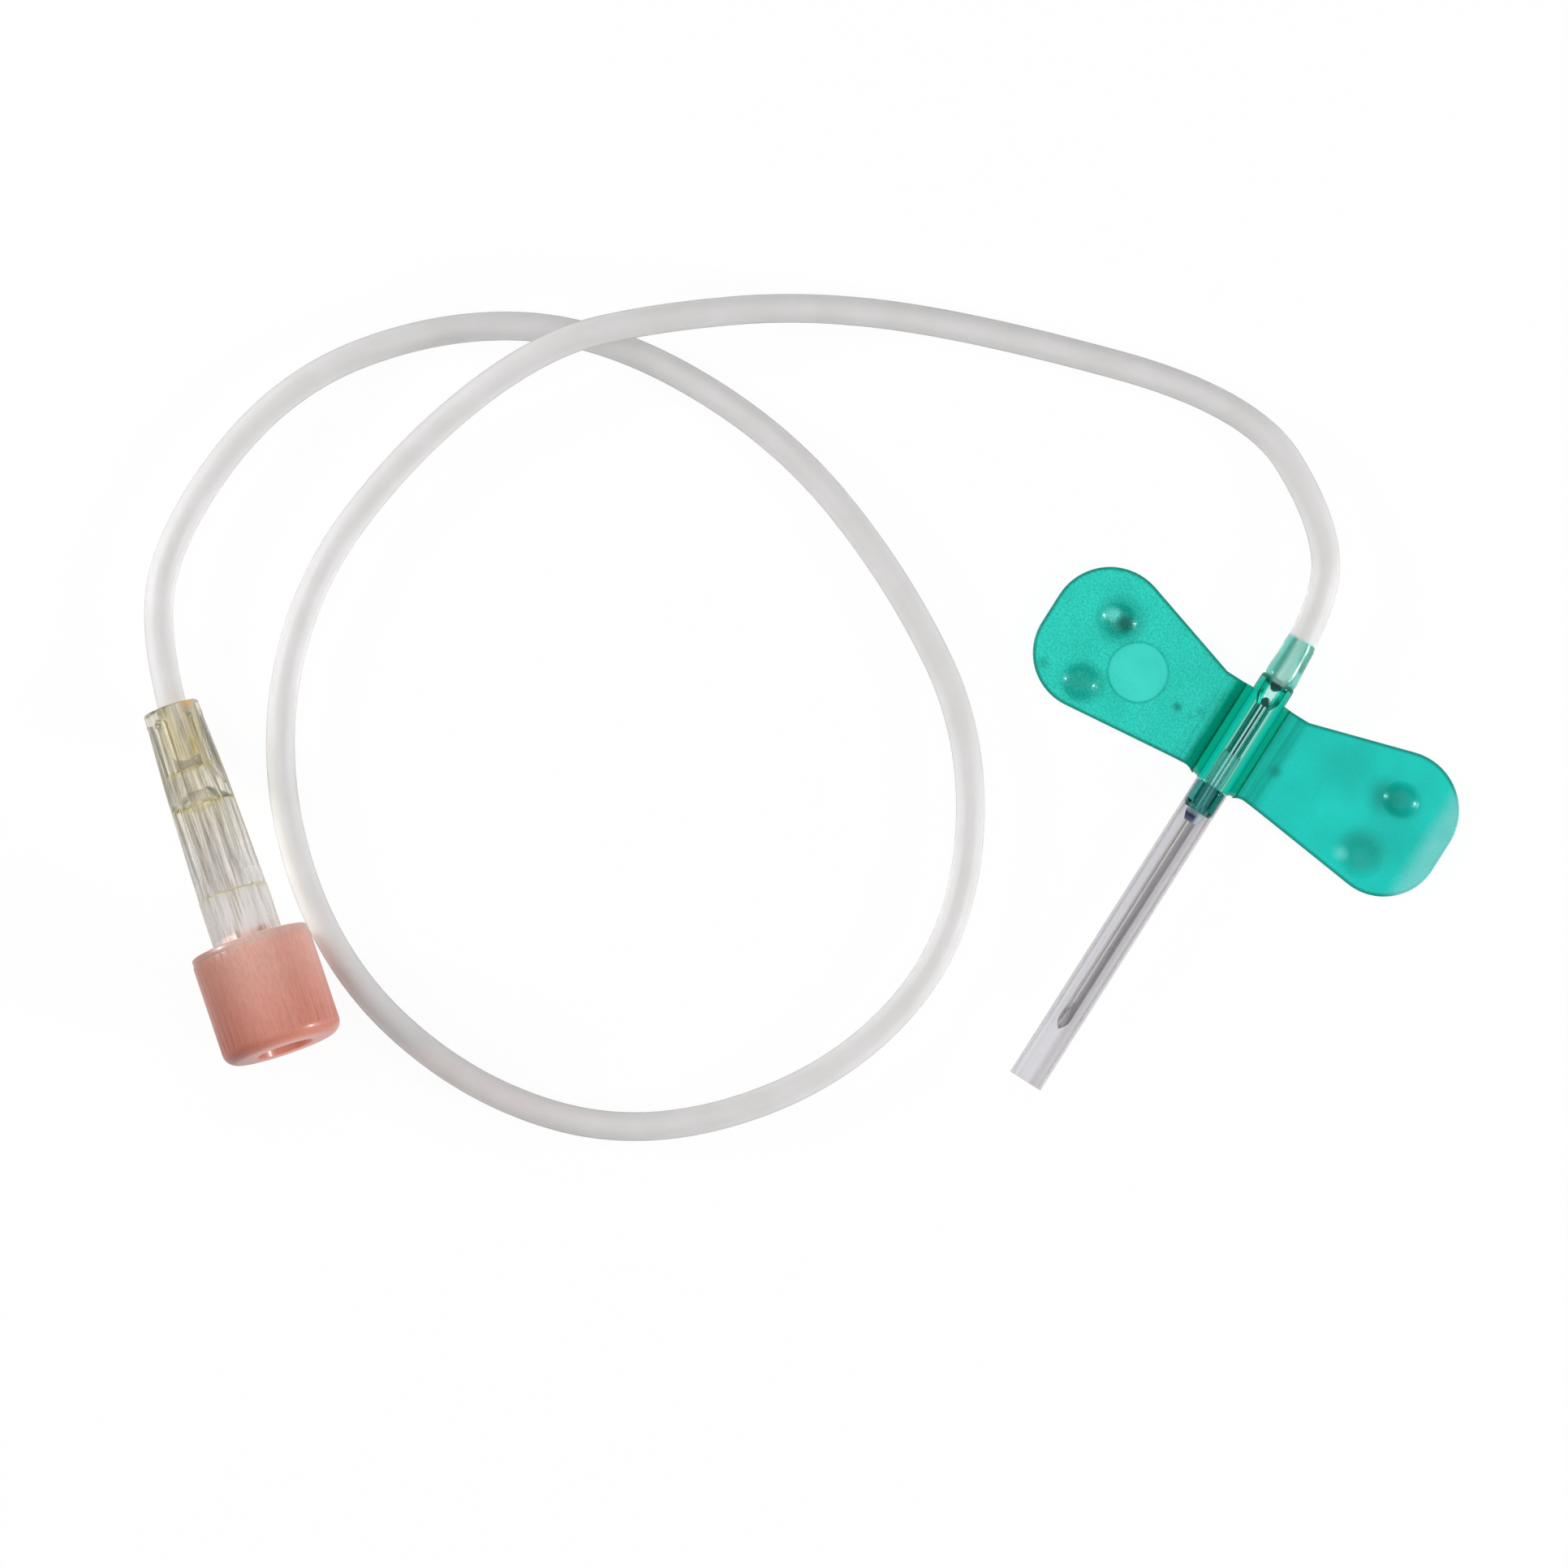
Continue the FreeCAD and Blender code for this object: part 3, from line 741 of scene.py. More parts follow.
def tube_material():
    """Frosted soft tube, tinted by the green nipple inside it at the start."""
    material = new_material("tube_frosted", {
        "Transmission Weight": 0.4,
        "Roughness": 0.5,
        "IOR": 1.45,
        "Specular IOR Level": 0.25,
    })
    place = place_of(material)
    clouds = spread(noise(place, 350.0, 3.0), 0.3, 0.7)
    frosted = mix(clouds, (0.72, 0.71, 0.705), (0.76, 0.75, 0.75))
    core = spread(noise(place, 1100.0, 2.0, (1.0, 0.12, 1.0)), 0.42, 0.6)
    middle = mix(core, (0.50, 0.74, 0.70), (0.95, 0.97, 0.96))
    side = ease(attribute(material, "level"), 0.86, 0.97, 1.0, 0.0)
    over_nipple = mix(side, middle, (0.22, 0.64, 0.57))
    past_nipple = spread(attribute(material, "along"), 3.3, 3.55)
    colour = mix(past_nipple, over_nipple, frosted)
    # painted shade: the tube's base colour darkens towards its outline as seen from the eye
    rim = ease(facing_of(material), 0.5, 0.95, 0.0, 0.75)
    set_shader(material, {
        "Base Color": mix(rim, colour, (0.36, 0.36, 0.355)),
        "Transmission Weight": spread(past_nipple, 0.0, 1.0, 0.8, 0.4),
        "Roughness": spread(past_nipple, 0.0, 1.0, 0.22, 0.5),
    })
    bump(material, noise(place, 6000.0), 0.000004)
    let_lamps_through(material, (0.75, 0.75, 0.75))
    return material


def cap_material():
    """Semi-translucent salmon plastic, paler at the open rim and deeper towards the closed end."""
    material = new_material("cap_pink", {
        "Roughness": 0.38,
        "IOR": 1.49,
        "Subsurface Weight": 0.6,
        "Subsurface Radius": (1.0, 0.55, 0.45),
        "Subsurface Scale": 0.0012,
        "Coat Weight": 0.15,
        "Coat Roughness": 0.15,
    })
    at = attribute(material, "along")
    side = attribute(material, "side")
    place = place_of(material)
    depth = spread(at, cap_rim_at, cap_rim_at + cap_length)
    body = mix(depth, (0.69, 0.42, 0.35), (0.62, 0.235, 0.17))
    lip = ease(at, cap_rim_at + 0.5, cap_rim_at + 0.75)
    colour = mix(lip, (0.62, 0.45, 0.40), body)
    # painted shade: the cap is darker towards its left side and a little darker towards its right
    colour = tinted(colour, ease(side, -4.3, 0.0), (0.50, 0.33, 0.27), WHITE)
    colour = tinted(colour, ease(side, 1.2, 4.3), WHITE, (0.92, 0.86, 0.84))
    # painted light: the plug's tip inside the cap is paler, lifting the shade it lies in
    plug = spread(measure("LENGTH", turned_place(material, 0.0)), 2.15, 2.2, 1.0, 0.0)
    tip = times(plug, spread(at, 18.8, 19.4, 1.0, 0.0))
    colour = mix(tip, colour, (0.80, 0.62, 0.58))
    clouded = mix(noise(place, 500.0, 3.0), (0.88, 0.87, 0.86), WHITE)
    fine = spread(noise(turned_place(material, 0.3), 6.0, 3.0), 0.35, 0.65)
    mottled = tinted(clouded, fine, (0.93, 0.87, 0.86), WHITE)
    set_shader(material, {"Base Color": multiply(colour, mottled)})
    bump(material, noise(place, 4000.0), 0.000005)
    let_lamps_through(material, (0.90, 0.82, 0.80))
    return material


# The tube's route, as in the part's source: x, y and the height of its underside. Where it
# passes over its own later turn it lies lower here, because the spline has no corners to round.
tube_route = [
    (-3.5, 27.9, 0.0), (-12.9, 32.5, 0.0), (-32.7, 26.4, 0.0), (-44.4, 21.1, 0.3),
    (-53.4, 14.2, 2.5), (-59.9, 7.7, 2.5), (-64.3, -4.4, 0.3), (-65.3, -17.8, 0.0),
    (-59.7, -30.5, 0.0), (-48.4, -39.9, 0.0), (-34.6, -42.3, 0.0), (-21.8, -38.5, 0.0),
    (-12.0, -26.9, 0.0), (-9.6, -13.4, 0.0), (-16.5, 0.0, 0.0), (-28.3, 7.3, 0.0),
    (-41.6, 11.7, 0.0), (-56.8, 11.0, 0.0), (-67.2, 5.0, 0.0), (-74.9, -5.4, 0.0),
    (-76.0, -19.6, 0.0),
]
tube_straight_out = 6.6
tube_straight_in = 4.0


def route_points():
    """The control points of the tube's centre line."""
    start = Vector((0, mid_y + barrel_rear, hub_axis_height))
    points = [start, start + Vector((0, tube_straight_out, 0))]
    for x, y, lift in tube_route:
        points.append(Vector((x, y, lift + tube_radius)))
    points.append(connector_face - connector_axis * tube_straight_in)
    points.append(connector_face + connector_axis * connector_seat)
    return points


def smooth_line(points):
    """Points along the NURBS spline that has these control points, in millimetres."""
    curve = bpy.data.curves.new("tube_line", "CURVE")
    curve.dimensions = "3D"
    spline = curve.splines.new("NURBS")
    spline.points.add(len(points) - 1)
    for control, point in zip(spline.points, points):
        control.co = (*(point * MM), 1)
    spline.order_u = 3
    spline.use_endpoint_u = True
    spline.resolution_u = 32
    holder = add_object("tube_line", curve)
    graph = bpy.context.evaluated_depsgraph_get()
    mesh = bpy.data.meshes.new_from_object(holder.evaluated_get(graph))
    line = [v.co / MM for v in mesh.vertices]
    bpy.data.objects.remove(holder)
    bpy.data.curves.remove(curve)
    bpy.data.meshes.remove(mesh)
    return line


def frames_along(line):
    """Two directions across the line at each point, turning as little as possible."""
    across = Vector((1, 0, 0))
    frames = []
    for i, point in enumerate(line):
        ahead = line[min(i + 1, len(line) - 1)] - line[max(i - 1, 0)]
        ahead.normalize()
        across = (across - ahead * across.dot(ahead)).normalized()
        frames.append((across, ahead.cross(across)))
    return frames


def tube_piece(material):
    """The hollow tube, stretched over the nipple at its start."""
    line = smooth_line(route_points())
    frames = frames_along(line)
    run = [0.0]
    for a, b in zip(line[:-1], line[1:]):
        run.append(run[-1] + (b - a).length)
    start = line[0]
    segments = 44
    points = []
    along = []
    level = []                         # 1 on top of the tube and 0 at its sides
    # where along the skin and its radius there, and how far its rim reaches over the barrel's
    # rounded end
    outside = [0.0, 0.08, 1.8, 2.9, 3.8], [1.27, 1.335, 1.21, 1.20, tube_radius], 0.36
    inside = [0.0, 3.4, 3.5], [0.925, 0.735, tube_bore_radius], 0.02
    forwards = range(len(line))
    for (at_list, radius_list, reach), order in ((outside, forwards), (inside, reversed(forwards))):
        line[0] = start - Vector((0, reach, 0))
        for i in order:
            radius = float(np.interp(run[i], at_list, radius_list))
            across, up = frames[i]
            for angle in circle(segments):
                out = across * math.cos(angle) + up * math.sin(angle)
                points.append(line[i] + out * radius)
                level.append(abs(out.z))
            along.extend([run[i]] * segments)
    rows = 2 * len(line)
    faces = grid_faces(rows, segments) + close_rows(rows, segments)
    piece = make_piece("tube", points, faces, material)
    point_attribute(piece, "along", along)
    point_attribute(piece, "level", level)
    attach(piece, "hub")
    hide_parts("tubing")


# Wings
def wing_chains():
    """The wing's rear and front edges, from the root to the middle of its outer side."""
    middle = (wing_outer_x, (wing_rear_corner[1] + wing_front_corner[1]) / 2)
    rear = rounded([(wing_root_x, wing_rear_neck[1]), wing_rear_neck, wing_rear_corner, middle])
    front = rounded([
        (wing_root_x, wing_front_root_y - wing_root_fillet),
        (2.3, wing_front_root_y, 1.2),
        wing_front_neck,
        wing_front_corner,
        middle,
    ])
    return rear, front


def distance_to(chain, x, y):
    """Shortest distance from each point to a line through the chain's points."""
    best = np.full(x.shape, 1e9)
    for a, b in zip(chain[:-1], chain[1:]):
        dx, dy = b.x - a.x, b.y - a.y
        length = dx * dx + dy * dy
        if length == 0:
            continue
        t = np.clip(((x - a.x) * dx + (y - a.y) * dy) / length, 0, 1)
        best = np.minimum(best, np.hypot(x - a.x - t * dx, y - a.y - t * dy))
    return best


def soft_max(a, b, width):
    """The larger of two heights, with the corner between them filled."""
    share = np.clip(0.5 + 0.5 * (a - b) / width, 0, 1)
    return b + (a - b) * share + width * share * (1 - share)


def soft_step(value, low, high):
    t = np.clip((value - low) / (high - low), 0, 1)
    return t * t * (3 - 2 * t)


def wing_piece(name, side, stud_y, socket_y, socket_depth, disc_depth, material):
    """One wing: a plate with a stud, a socket, a recessed disc and a thinner web at the fold."""
    rear, front = wing_chains()
    corner = wing_rear_corner[2]
    step = 0.09
    inner_count = round((wing_outer_x - corner - wing_root_x) / step)
    columns = list(np.linspace(wing_root_x, wing_outer_x - corner, inner_count))
    corner_columns = 56
    turns = np.linspace(0, math.pi / 2, corner_columns)[1:]
    columns += [wing_outer_x - corner * (1 - math.sin(t)) for t in turns]
    insets = [0, 0.012, 0.035, 0.07, 0.115, 0.17]
    middle_rows = 116
    rear_y = np.interp(columns, [p.x for p in rear[:-1]], [p.y for p in rear[:-1]])
    front_y = np.interp(columns, [p.x for p in front[:-1]], [p.y for p in front[:-1]])
    share = np.linspace(0, 1, middle_rows)
    strips = []
    for low, high in zip(front_y, rear_y):
        inner_low = low + insets[-1]
        inner_high = high - insets[-1]
        strip = [low + d for d in insets[:-1]]
        strip += list(inner_low + (inner_high - inner_low) * share)
        strip += [high - d for d in reversed(insets[:-1])]
        strips.append(strip)
    y = np.array(strips)
    x = np.repeat(np.array(columns)[:, None], y.shape[1], axis=1)
    edge = np.minimum(distance_to(rear, x, y), distance_to(front, x, y))
    inside = np.clip(edge, 0, wing_edge_round)
    drop = wing_edge_round - np.sqrt(wing_edge_round ** 2 - (wing_edge_round - inside) ** 2)
    top = wing_thickness - drop
    # the web at the fold: thinner from 2.5 to 2.75, with a slope on each side
    web_depth = 0.07
    top -= web_depth * soft_step(x, 2.2, 2.5) * soft_step(-x, -3.15, -2.75)
    # the recessed disc, with a fine raised line round it
    from_disc = np.hypot(x - disc_x, y - disc_y)
    top -= disc_depth * soft_step(-from_disc, -disc_radius - 0.06, -disc_radius + 0.06)
    top += disc_depth * 0.4 * np.exp(-((from_disc - disc_radius - 0.12) / 0.07) ** 2)
    # the stud
    from_stud = np.hypot(x - stud_x, y - stud_y)
    ball = (stud_radius ** 2 + stud_height ** 2) / (2 * stud_height)
    dome = wing_thickness + stud_height - ball + np.sqrt(np.maximum(ball ** 2 - from_stud ** 2, 0))
    top = soft_max(dome, top, 0.05)
    # the socket, with a slightly raised rim
    socket_radius = stud_radius - 0.05
    from_socket = np.hypot(x - stud_x, y - socket_y)
    top += 0.05 * np.exp(-((from_socket - socket_radius - 0.12) / 0.13) ** 2)
    hollow = (socket_radius ** 2 + socket_depth ** 2) / (2 * socket_depth)
    curve = np.sqrt(np.maximum(hollow ** 2 - from_socket ** 2, 0))
    bowl = wing_thickness - socket_depth + hollow - curve
    out_of_reach = 9.0
    bowl = np.where(from_socket < socket_radius * 1.3, bowl, out_of_reach)
    top = -soft_max(-bowl, -top, 0.04)
    bottom = drop.copy()
    rows, count = y.shape
    points = []
    for height in (top, bottom):
        points += zip(side * x.ravel(), y.ravel() + mid_y, height.ravel())
    faces = grid_faces(rows, count, closed=False)
    below = rows * count
    faces += [tuple(reversed(f)) for f in grid_faces(rows, count, False, below)]
    ring = [i * count for i in range(rows)]
    ring += [(rows - 1) * count + j for j in range(1, count)]
    ring += [i * count + count - 1 for i in range(rows - 2, -1, -1)]
    ring += [j for j in range(count - 2, 0, -1)]
    for a, b in zip(ring, ring[1:] + ring[:1]):
        faces.append((b, a, a + below, b + below))
    if side > 0:
        faces = [tuple(reversed(f)) for f in faces]
    piece = make_piece(name, points, faces, material)
    values = {"rest_x": side * x, "rest_y": y, "edge": edge, "thick": top - bottom}
    for key, grid in values.items():
        point_attribute(piece, key, np.tile(grid.ravel(), 2))
    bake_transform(piece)
    return piece


def hub_section(dx, dz):
    """Distance from the hub's axis to the outside of its shoulders, in one direction."""
    reach = barrel_radius
    if dz < 0:
        slope_x, slope_z = shoulder_half_width - barrel_radius, hub_axis_height - wing_thickness
        ahead = slope_z * abs(dx) + slope_x * dz
        limits = [hub_axis_height / -dz]
        if abs(dx) > 0.01:
            limits.append(shoulder_half_width / abs(dx))
        if ahead > 0:
            limits.append(slope_z * barrel_radius / ahead)
        reach = max(reach, min(limits))
    return reach


def shouldered_point(angle, radius, at):
    """A point of the hub's skin, where radius 0 is the shoulders and below 0 how far they run out."""
    if radius <= 0:
        section = hub_section(math.cos(angle), math.sin(angle))
        radius = section * (1 + radius) - barrel_radius * radius
    return hub_point(angle, radius, at)


def hub_piece(material):
    """The hub's core: nipple, barrel, shoulders and nose, with the bore that holds the needle."""
    edge = 0.05
    steps = 14
    profile = [
        (nipple_rear, nipple_end_radius - edge),
        (nipple_rear - edge, nipple_end_radius),
        (barrel_rear, nipple_root_radius),
        (barrel_rear, 1.2),
        (4.52, 1.3),
        (4.38, 1.36),
        (4.2, barrel_radius),
    ]
    profile += [(y, barrel_radius) for y in (4.0, 3.6, 3.35, shoulder_rear + 0.01)]
    for i in range(steps + 1):
        profile.append((shoulder_rear + (shoulder_front - shoulder_rear) * i / steps, 0))
    profile += [
        (shoulder_front - 0.13, -0.15),
        (shoulder_front - 0.24, -0.5),
        (shoulder_front - 0.3, -1.0),
        (barrel_front + 0.03, barrel_radius),
        (barrel_front, barrel_radius - 0.03),
        (barrel_front, nose_radius),
        (nose_front + edge, nose_radius),
        (nose_front, nose_radius - edge),
        (nose_front, glue_pocket_radius),
        (glue_pocket_rear - 0.4, glue_pocket_radius),
        (glue_pocket_rear - 0.15, 0.46),
        (glue_pocket_rear - 0.03, 0.43),
        (glue_pocket_rear, needle_seat_radius),
        (cavity_front, needle_seat_radius),
        (cavity_wide_from, cavity_radius),
        (cavity_rear - 0.2, cavity_radius),
        (cavity_rear, nipple_bore_radius),
        (nipple_rear, nipple_bore_radius),
    ]
    piece = sleeve("hub_skin", profile, shouldered_point, material, columns=144)
    piece.data.set_sharp_from_angle(angle=math.radians(45))
    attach(piece, "hub")
    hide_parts("wing_hub")


def glue_piece(material):
    """The glue round the needle in the hub's nose, with its blue bead in front."""
    needle_side = 0.405
    profile = [
        (glue_pocket_rear - 0.2, 0.43),
        (glue_pocket_rear - 0.4, 0.47),
        (nose_front, 0.47),
        (nose_front - 0.1, 0.62),
        (nose_front - 0.35, 0.60),
        (nose_front - 0.7, 0.5),
        (nose_front - 0.95, 0.42),
        (nose_front - 0.95, needle_side),
        (glue_pocket_rear - 0.2, needle_side),
    ]
    piece = sleeve("needle_glue", profile, hub_point, material, columns=64)
    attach(piece, "hub")
    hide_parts("needle_adhesive")


def sheath_piece(material):
    """The clear sheath, pushed over the hub's nose."""
    edge = 0.04
    steps = 60
    ys = [sheath_rear + (sheath_front - sheath_rear) * i / steps for i in range(steps + 1)]
    ys = [sheath_rear - edge] + ys[1:-1] + [sheath_front + edge]
    profile = [(sheath_rear, sheath_bore_radius + edge), (sheath_rear, sheath_radius - edge)]
    profile += [(y, sheath_radius) for y in ys]
    profile += [(sheath_front, sheath_radius - edge), (sheath_front, sheath_bore_radius + edge)]
    profile += [(y, sheath_bore_radius) for y in reversed(ys)]
    piece = sleeve("sheath_skin", profile, hub_point, material, columns=96)
    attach(piece, "sheath")
    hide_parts("needle_sheath")


flute_wall_radius = 2.3            # where the width of the flutes is measured


def connector_columns():
    """Angles round the connector, close together at the walls of the flutes and lugs."""
    wall = math.degrees(math.asin(flute_half_width / flute_wall_radius))
    half = [0, 2.2, 4.4, 6.6, 8.6, 10.4, 11.8, 12.6, wall - 0.15, wall + 0.35]
    half += [14.6, 15.8, 17.6, 18.6, 20.5, 23, 26, 30]
    around = sorted({-a for a in half} | set(half))[:-1]
    pitch = 360 / flute_count
    return [math.radians(pitch * i + a) for i in range(flute_count) for a in around]


def in_flute(angle):
    """How far across a flute's middle an angle is, and whether it is in the flute."""
    pitch = 2 * math.pi / flute_count
    offset = abs((angle + pitch / 2) % pitch - pitch / 2)
    across = math.sin(offset) * flute_wall_radius
    return across, across < flute_half_width


def connector_piece(material):
    """Clear female luer hub with arch-topped flutes, lugs and a stepped bore."""
    columns = connector_columns()
    envelope_at = [0, connector_shoulder_at, rib_end, connector_length]
    envelope = [connector_end_radius, connector_shoulder_radius] + [connector_body_radius] * 2
    core_at = [0, core_taper_start, chamber_step, rib_end]
    core = [core_socket_radius] * 2 + [core_chamber_radius] * 2
    centre = flute_start + flute_half_width
    straight = [2.4, 3.3, 4.2, 5.2, 6.0, 6.8, 7.7, 9.0, 10.5, 12.0, 13.5, 14.62, 14.68]
    lower = [14.72, 14.9, 17, 19, 21, 23.0, connector_length - lug_thickness - 0.01]
    edge = 0.05
    mouth_edge = 0.06
    points = []

    def add_row(at_for, radius_for):
        for angle in columns:
            at = at_for(angle)
            points.append(connector_point(angle, radius_for(angle, at), at))

    def arch_top(angle):
        across = min(in_flute(angle)[0], flute_half_width)
        return centre - math.sqrt(flute_half_width ** 2 - across ** 2)

    def whole(angle, at):
        return float(np.interp(at, envelope_at, envelope))

    def fluted(angle, at):
        if in_flute(angle)[1]:
            return float(np.interp(at, core_at, core))
        return whole(angle, at)

    def lugged(angle, at):
        in_lug = abs(math.sin(angle)) * lug_radius < lug_half_width
        return lug_radius if in_lug else connector_body_radius

    add_row(lambda a: 0.0, lambda a, z: connector_end_radius - mouth_edge)
    for share in (0.0, 0.25, 0.55, 0.85, 1.0):
        add_row(lambda a: 0.05 + (arch_top(a) - 0.06) * share, whole)
    for share in (0.0, 0.04, 0.15, 0.5):
        add_row(lambda a: arch_top(a) + 0.01 + (centre + 0.5 - arch_top(a)) * share, fluted)
    for at in straight:
        add_row(lambda a: at, fluted)
    for at in lower:
        add_row(lambda a: at, whole)
    for at in (connector_length - lug_thickness, connector_length - edge):
        add_row(lambda a: at, lugged)
    add_row(lambda a: connector_length, lambda a, z: connector_body_radius - mouth_edge)
    bore = [
        (connector_length, luer_end_radius + mouth_edge),
        (connector_length - edge, luer_end_radius),
        (luer_top, luer_top_radius),
        (luer_top, chamber_radius),
        (luer_top - 0.3, chamber_radius),
        (chamber_step + 0.1, chamber_radius),
        (chamber_step, chamber_radius - 0.1),
        (passage_end, passage_radius),
        (tube_socket_depth, passage_radius),
        (tube_socket_depth, tube_socket_radius - mouth_edge),
        (tube_socket_depth - mouth_edge, tube_socket_radius),
        (edge, tube_socket_radius),
        (0, tube_socket_radius + edge),
    ]
    points += rings(bore, columns, connector_point)
    rows = len(points) // len(columns)
    faces = grid_faces(rows, len(columns)) + close_rows(rows, len(columns))
    piece = make_piece("connector_skin", points, faces, material)
    turned_attributes(piece)
    piece.data.set_sharp_from_angle(angle=math.radians(35))
    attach(piece, "hub")
    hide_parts("luer_connector")


def socket_glue_piece(material):
    """The film of glue between the tube and the connector's socket."""
    profile = [(0.02, 1.080)]
    profile += [(at, 1.093) for at in (0.0, 1.2, 2.4, 3.6, 4.84)]
    profile += [(at, 1.078) for at in (4.84, 3.6, 2.4, 1.2)]
    piece = sleeve("socket_glue", profile, connector_point, material, columns=64)
    turned_attributes(piece)
    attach(piece, "hub")


def cap_profile():
    """The cap's outline from the bottom of the plug's core round to the plug's tip."""
    end = cap_rim_at + cap_length
    lip_at = cap_rim_at + cap_lip_height
    lip_radius = cap_radius - cap_lip_step
    core_floor = plug_tip_at + plug_tip_wall
    recess = end - cap_recess_depth
    small = 0.05
    profile = [
        (core_floor, plug_core_radius - small),
        (core_floor + small, plug_core_radius),
        (recess - small, plug_core_radius),
        (recess, plug_core_radius + small),
        (recess, cap_recess_radius - small),
        (recess + small, cap_recess_radius),
        (end - small, cap_recess_radius),
        (end, cap_recess_radius + small),
        (end, cap_recess_radius + 0.4),
    ]
    round_steps = 12
    for i in range(round_steps + 1):
        turn = math.pi / 2 * i / round_steps
        at = end - cap_end_round * (1 - math.cos(turn))
        profile.append((at, cap_radius - cap_end_round * (1 - math.sin(turn))))
    straight = cap_length - cap_end_round - 0.6
    side_steps = 9
    for i in range(1, side_steps + 1):
        profile.append((end - cap_end_round - straight * i / side_steps, cap_radius))
    profile += [
        (lip_at + 0.02, cap_radius - 0.01),
        (lip_at, lip_radius),
        (lip_at - 0.1, lip_radius),
        (cap_rim_at + small, lip_radius),
        (cap_rim_at, lip_radius - small),
        (cap_rim_at, cap_bore_radius + small),
        (cap_rim_at + small, cap_bore_radius),
        (cap_floor_at - small, cap_bore_radius),
        (cap_floor_at, cap_bore_radius - small),
        (cap_floor_at, luer_mouth_radius + small),
        (cap_floor_at - small, luer_mouth_radius),
        (plug_tip_at + 0.2, luer_tip_radius),
        (plug_tip_at + 0.06, luer_tip_radius - 0.06),
        (plug_tip_at, luer_tip_radius - 0.2),
    ]
    return profile


def grooved_point(angle, radius, at):
    """A point of the cap, with the grip grooves in its outside."""
    pitch = 2 * math.pi / grip_count
    offset = ((angle + pitch / 2) % pitch - pitch / 2) * cap_radius
    outside = radius >= cap_radius - cap_end_round and at >= cap_rim_at + cap_lip_height
    if outside and abs(offset) < grip_groove_radius:
        reach = grip_groove_radius - grip_groove_depth
        depth = math.sqrt(grip_groove_radius ** 2 - offset ** 2) - reach
        end = cap_rim_at + cap_length - grip_end
        fade = min(1.0, max(0.0, (end - at) / 0.4))
        uneven = 0.28 + 0.72 * min(1.0, max(0.0, (at - end + 2.2) / 1.2))
        radius = min(radius, cap_radius - max(depth, 0.0) * fade * uneven)
    return connector_point(angle, radius, at)


def cap_piece(material):
    """The cap, closed by a fan of faces at the plug's core and one at its tip."""
    profile = cap_profile()
    columns_per_groove = 14
    columns = grip_count * columns_per_groove
    points = [connector_point(0, 0, plug_tip_at + plug_tip_wall)]
    points += rings(profile, circle(columns), grooved_point)
    points.append(connector_point(0, 0, plug_tip_at))
    after = [(j + 1) % columns for j in range(columns)]
    last_ring = 1 + (len(profile) - 1) * columns
    faces = [(0, 1 + after[j], 1 + j) for j in range(columns)]
    faces += grid_faces(len(profile), columns, start=1)
    faces += [(last_ring + j, last_ring + after[j], last_ring + columns) for j in range(columns)]
    piece = make_piece("cap_skin", points, faces, material)
    turned_attributes(piece)
    piece.data.set_sharp_from_angle(angle=math.radians(50))
    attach(piece, "cap")
    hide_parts("luer_cap")


# Stage
picture_turn = math.radians(32.4)
picture_centre = Vector((-27.09, -10.34, hub_axis_height))
picture_width = 117.09             # what the frame takes in, at the height of the hub's axis
camera_distance = 700.0
sensor_width = 36.0


def add_camera():
    """Straight above the set, turned as in the photograph."""
    camera = bpy.data.cameras.new("camera")
    camera.sensor_width = sensor_width
    camera.lens = sensor_width * camera_distance / picture_width
    camera.clip_start = 0.01
    camera.clip_end = 20.0
    holder = add_object("camera", camera)
    holder.location = (picture_centre + Vector((0, 0, camera_distance))) * MM
    holder.rotation_euler = (0, 0, picture_turn)
    bpy.context.scene.camera = holder


def add_lamp(name, turn, height, distance, size, power):
    """A soft lamp aimed at the middle of the set, turn degrees round from the picture's right."""
    around = picture_turn + math.radians(turn)
    rise = math.radians(height)
    out = Vector((
        math.cos(around) * math.cos(rise),
        math.sin(around) * math.cos(rise),
        math.sin(rise),
    ))
    lamp = bpy.data.lights.new(name, "AREA")
    lamp.shape = "DISK"
    lamp.size = size
    lamp.energy = power
    holder = add_object(name, lamp)
    holder.location = picture_centre * MM + out * distance
    holder.rotation_mode = "QUATERNION"
    holder.rotation_quaternion = out.to_track_quat("Z", "Y")


def floor_material():
    """White to the camera, in reflections and through clear pieces, with the set's soft shadow."""
    material = new_material("floor_white", {"Base Color": (0.9, 0.9, 0.9), "Roughness": 0.9})
    path = add_node(material.node_tree, "ShaderNodeLightPath").outputs
    seen = maths("MAXIMUM", path["Is Camera Ray"], path["Is Glossy Ray"])
    seen = maths("MAXIMUM", seen, path["Is Transmission Ray"])
    share = spread(seen, 0.0, 1.0, 0.0, 0.92)
    glow = add_node(material.node_tree, "ShaderNodeEmission")
    feed(glow.inputs["Strength"], 1.0)
    body = shader_of(material).outputs["BSDF"]
    show(material, mix_shaders(share, body, glow.outputs["Emission"]))
    return material


def add_floor():
    half = 3000.0
    sunk = -0.01
    corners = [(-half, -half, sunk), (half, -half, sunk), (half, half, sunk), (-half, half, sunk)]
    floor = make_piece("floor", corners, [(0, 1, 2, 3)], floor_material())


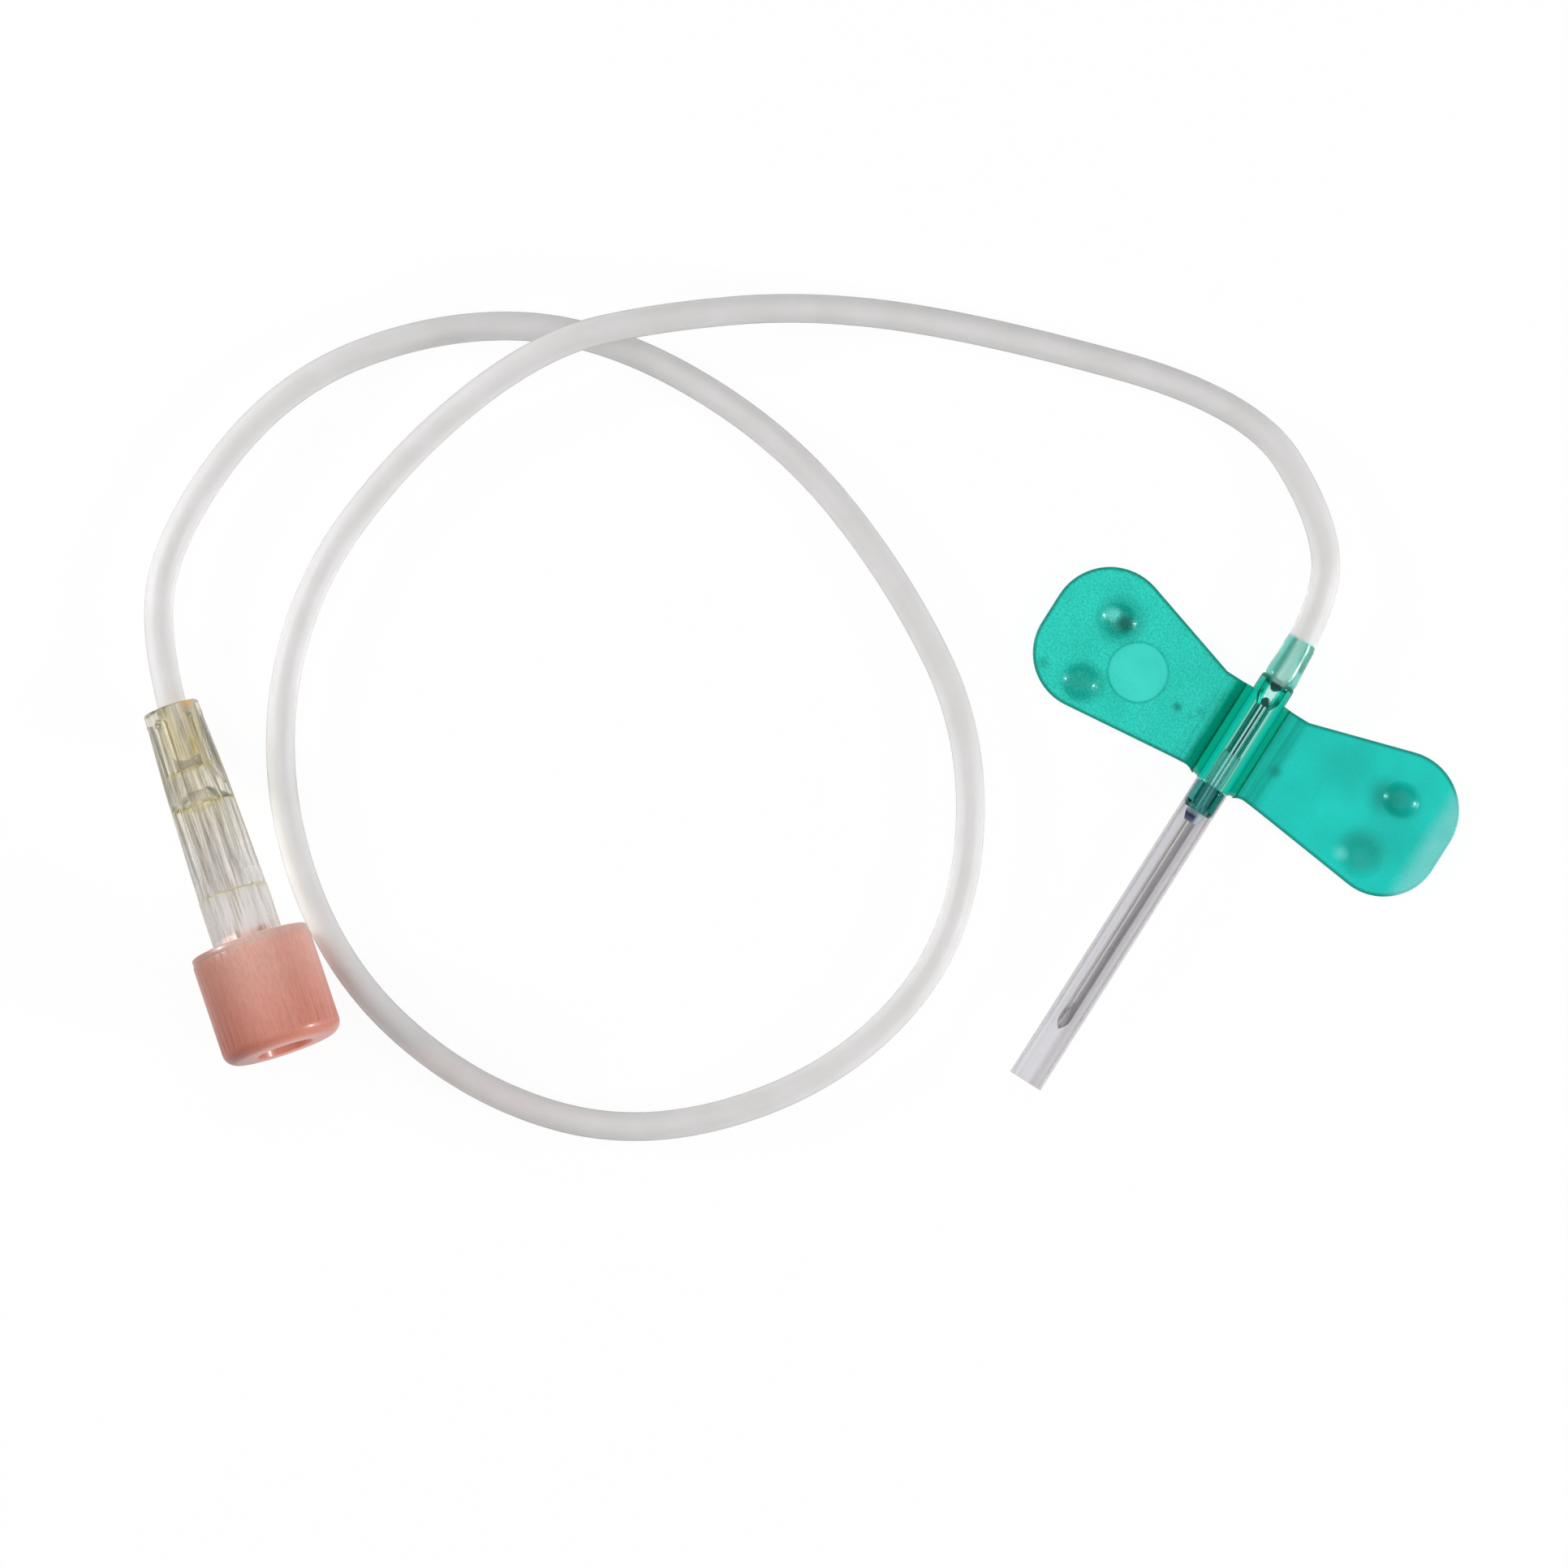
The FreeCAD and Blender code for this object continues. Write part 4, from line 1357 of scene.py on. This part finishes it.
def set_world():
    """A large soft white light overhead, white down at the horizon and dim in between."""
    world = bpy.data.worlds.new("studio")
    bpy.context.scene.world = world
    world.use_nodes = True
    direction = add_node(world.node_tree, "ShaderNodeTexCoord").outputs["Generated"]
    upwards = split(direction)[2]
    horizon = ease(upwards, 0.12, 0.22, 1.0, 0.1)
    overhead = ease(upwards, 0.60, 0.74, 0.1, 1.1)
    light = world.node_tree.nodes["Background"]
    feed(light.inputs["Color"], WHITE)
    feed(light.inputs["Strength"], maths("MAXIMUM", horizon, overhead))


def dress(name, material):
    """Give a CAD node its finish."""
    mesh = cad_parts[name].data
    mesh.materials.clear()
    mesh.materials.append(material)


add_camera()
for lamp_name, turn in (("lamp_right", -16.0), ("lamp_left", 164.0)):
    add_lamp(lamp_name, turn, height=19.0, distance=0.5, size=0.06, power=1.45)
add_floor()
set_world()

hub_piece(hub_material())
sheath_piece(sheath_material())
connector_piece(connector_material())
socket_glue_piece(socket_glue_material())
cap_piece(cap_material())
tube_piece(tube_material())
# Marks painted on the wings' colour, painted shade and painted highlights round the studs and sockets
# and darker or paler spots elsewhere: middle, inner and outer radius, strength and colour.
left_painted_marks = [
    ((5.35, -1.1), 0.0, 0.55, 0.9, DARK),
    ((3.7, -0.5), 0.0, 0.6, 0.4, DARK),
    ((4.2, -1.2), 0.0, 0.5, 0.35, DARK),
    ((15.6, -3.7), 0.0, 0.8, 0.5, DARK),
    ((12.42, 2.1), 1.3, 2.3, 0.4, DARK),
    ((12.42, 2.1), 0.9, 1.35, 0.6, DARK),
    ((13.1, 2.2), 0.2, 0.8, 0.9, PALE),
    ((11.95, 2.05), 0.2, 0.95, 0.95, DEEP),
    ((12.3, -3.35), 1.0, 2.1, 0.5, DARK),
]
right_painted_marks = [
    ((3.4, -1.3), 0.0, 0.8, 0.85, DARK),
    ((11.4, 1.6), 0.3, 2.0, 0.7, DARK),
    ((12.75, 1.9), 0.8, 1.7, 0.5, DARK),
    ((12.0, -2.9), 0.8, 2.3, 0.65, DARK),
    ((10.8, -3.8), 0.0, 0.8, 0.8, PALE),
    ((8.0, 2.0), 0.5, 3.0, 0.25, DARK),
    ((13.6, -0.8), 1.0, 4.0, 0.16, DARK),
]
wing_left = wing_piece(
    "wing_left_skin", side=-1, stud_y=stud_front_y, socket_y=stud_rear_y,
    socket_depth=0.5, disc_depth=0.07,
    material=wing_material(
        "wing_grained", body=(0.06, 0.88, 0.76), grain=1.0, fold_at=2.72, fold_dark=1.0,
        painted_marks=left_painted_marks, pale_rim=0.0, disc_pale=0.35,
    ),
)
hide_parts("wing_left")
wing_right = wing_piece(
    "wing_right_skin", side=1, stud_y=stud_rear_y, socket_y=stud_front_y,
    socket_depth=0.3, disc_depth=0.02,
    material=wing_material(
        "wing_smooth", body=(0.01, 0.76, 0.69), grain=0.3, fold_at=3.6, fold_dark=0.35,
        painted_marks=right_painted_marks, pale_rim=0.85, disc_pale=0.0,
    ),
)
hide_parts("wing_right")
dress("needle", steel_material())
glue_piece(glue_material())

bpy.context.scene.view_settings.view_transform = "Standard"
